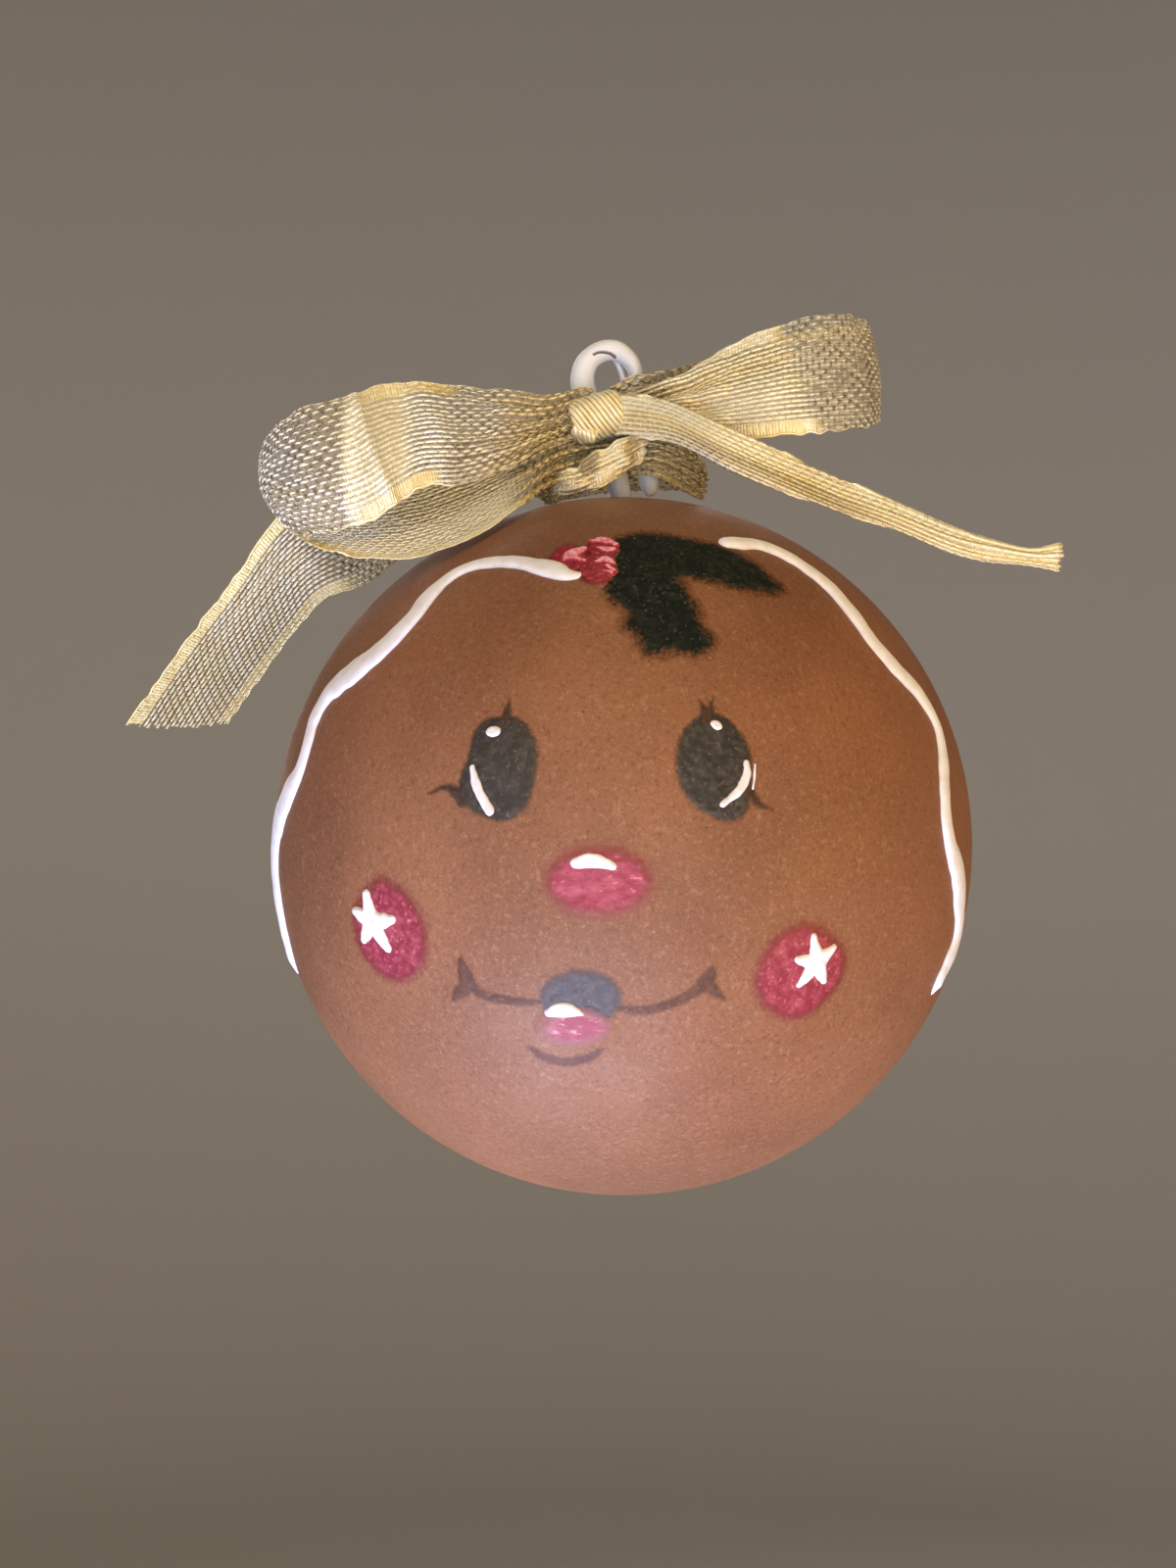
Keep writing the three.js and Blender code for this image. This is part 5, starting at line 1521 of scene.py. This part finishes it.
# Each light's place and size in millimetres, its power in watts and its colour. They imitate the
# photograph's room: a cool window below on the left, a warm lamp on the right, warm light from above.
LIGHTS = {
    "window_light": ((-110, -190, -420), 260, 3.15, (0.61, 0.7, 1.0)),
    "room_light": ((0, -600, -300), 500, 2.7, (1.0, 0.985, 0.95)),
    "lamp_light": ((500, -350, -150), 320, 1.78, (1.0, 0.56, 0.05)),
    "side_light": ((-500, -350, 0), 320, 0.56, (1.0, 0.92, 0.98)),
    "top_light": ((60, -100, 480), 400, 0.6, (1.0, 0.88, 0.5)),
    "back_light": ((-150, 700, 250), 600, 2.4, (1.0, 0.93, 0.86)),
    "shelf_light": ((-100, -500, 250), 400, 1.3, (1.0, 0.7, 0.28)),
}
ROOM_COLOUR = (1.0, 0.9, 0.85, 1)
ROOM_STRENGTH = 0.03
CAMERA_NEAR = 5.0
CAMERA_FAR = 20000.0


def add_light(name, at, size, power, colour):
    """A soft square light that faces the ball."""
    data = bpy.data.lights.new(name, "AREA")
    data.size = size * MM
    data.energy = power
    data.color = colour
    light = bpy.data.objects.new(name, data)
    place = np.array(at, float)
    light.location = place * MM
    light.rotation_euler = Vector(BALL_CENTRE - place).to_track_quat("-Z", "Y").to_euler()
    light.visible_camera = False
    bpy.context.scene.collection.objects.link(light)


def add_lights():
    for name, light in LIGHTS.items():
        add_light(name, *light)
    world = bpy.data.worlds.new("dim_room")
    bpy.context.scene.world = world
    world.use_nodes = True
    background = world.node_tree.nodes["Background"]
    background.inputs["Color"].default_value = ROOM_COLOUR
    background.inputs["Strength"].default_value = ROOM_STRENGTH


def add_camera():
    data = bpy.data.cameras.new("camera")
    data.sensor_width = SENSOR
    data.lens = FOCAL_PX * SENSOR / IMAGE_SIZE_PX[1]
    data.clip_start = CAMERA_NEAR * MM
    data.clip_end = CAMERA_FAR * MM
    camera = bpy.data.objects.new("camera", data)
    camera.location = CAMERA_AT * MM
    camera.rotation_euler = (math.radians(90), 0, 0)
    bpy.context.scene.collection.objects.link(camera)
    bpy.context.scene.camera = camera
    bpy.context.scene.view_settings.view_transform = "Standard"


add_camera()
add_stage()
add_lights()
add_ball()
add_icing()
white_paint = light_paint()
add_eyes(white_paint)
add_cheeks(white_paint)
add_nose(white_paint)
add_mouth(white_paint)
add_lines()
add_leaves()
add_berries()
add_hook()
ribbon_cloth = film_material(), thread_material()
add_knot_and_wrap(ribbon_cloth)
add_bow(ribbon_cloth)
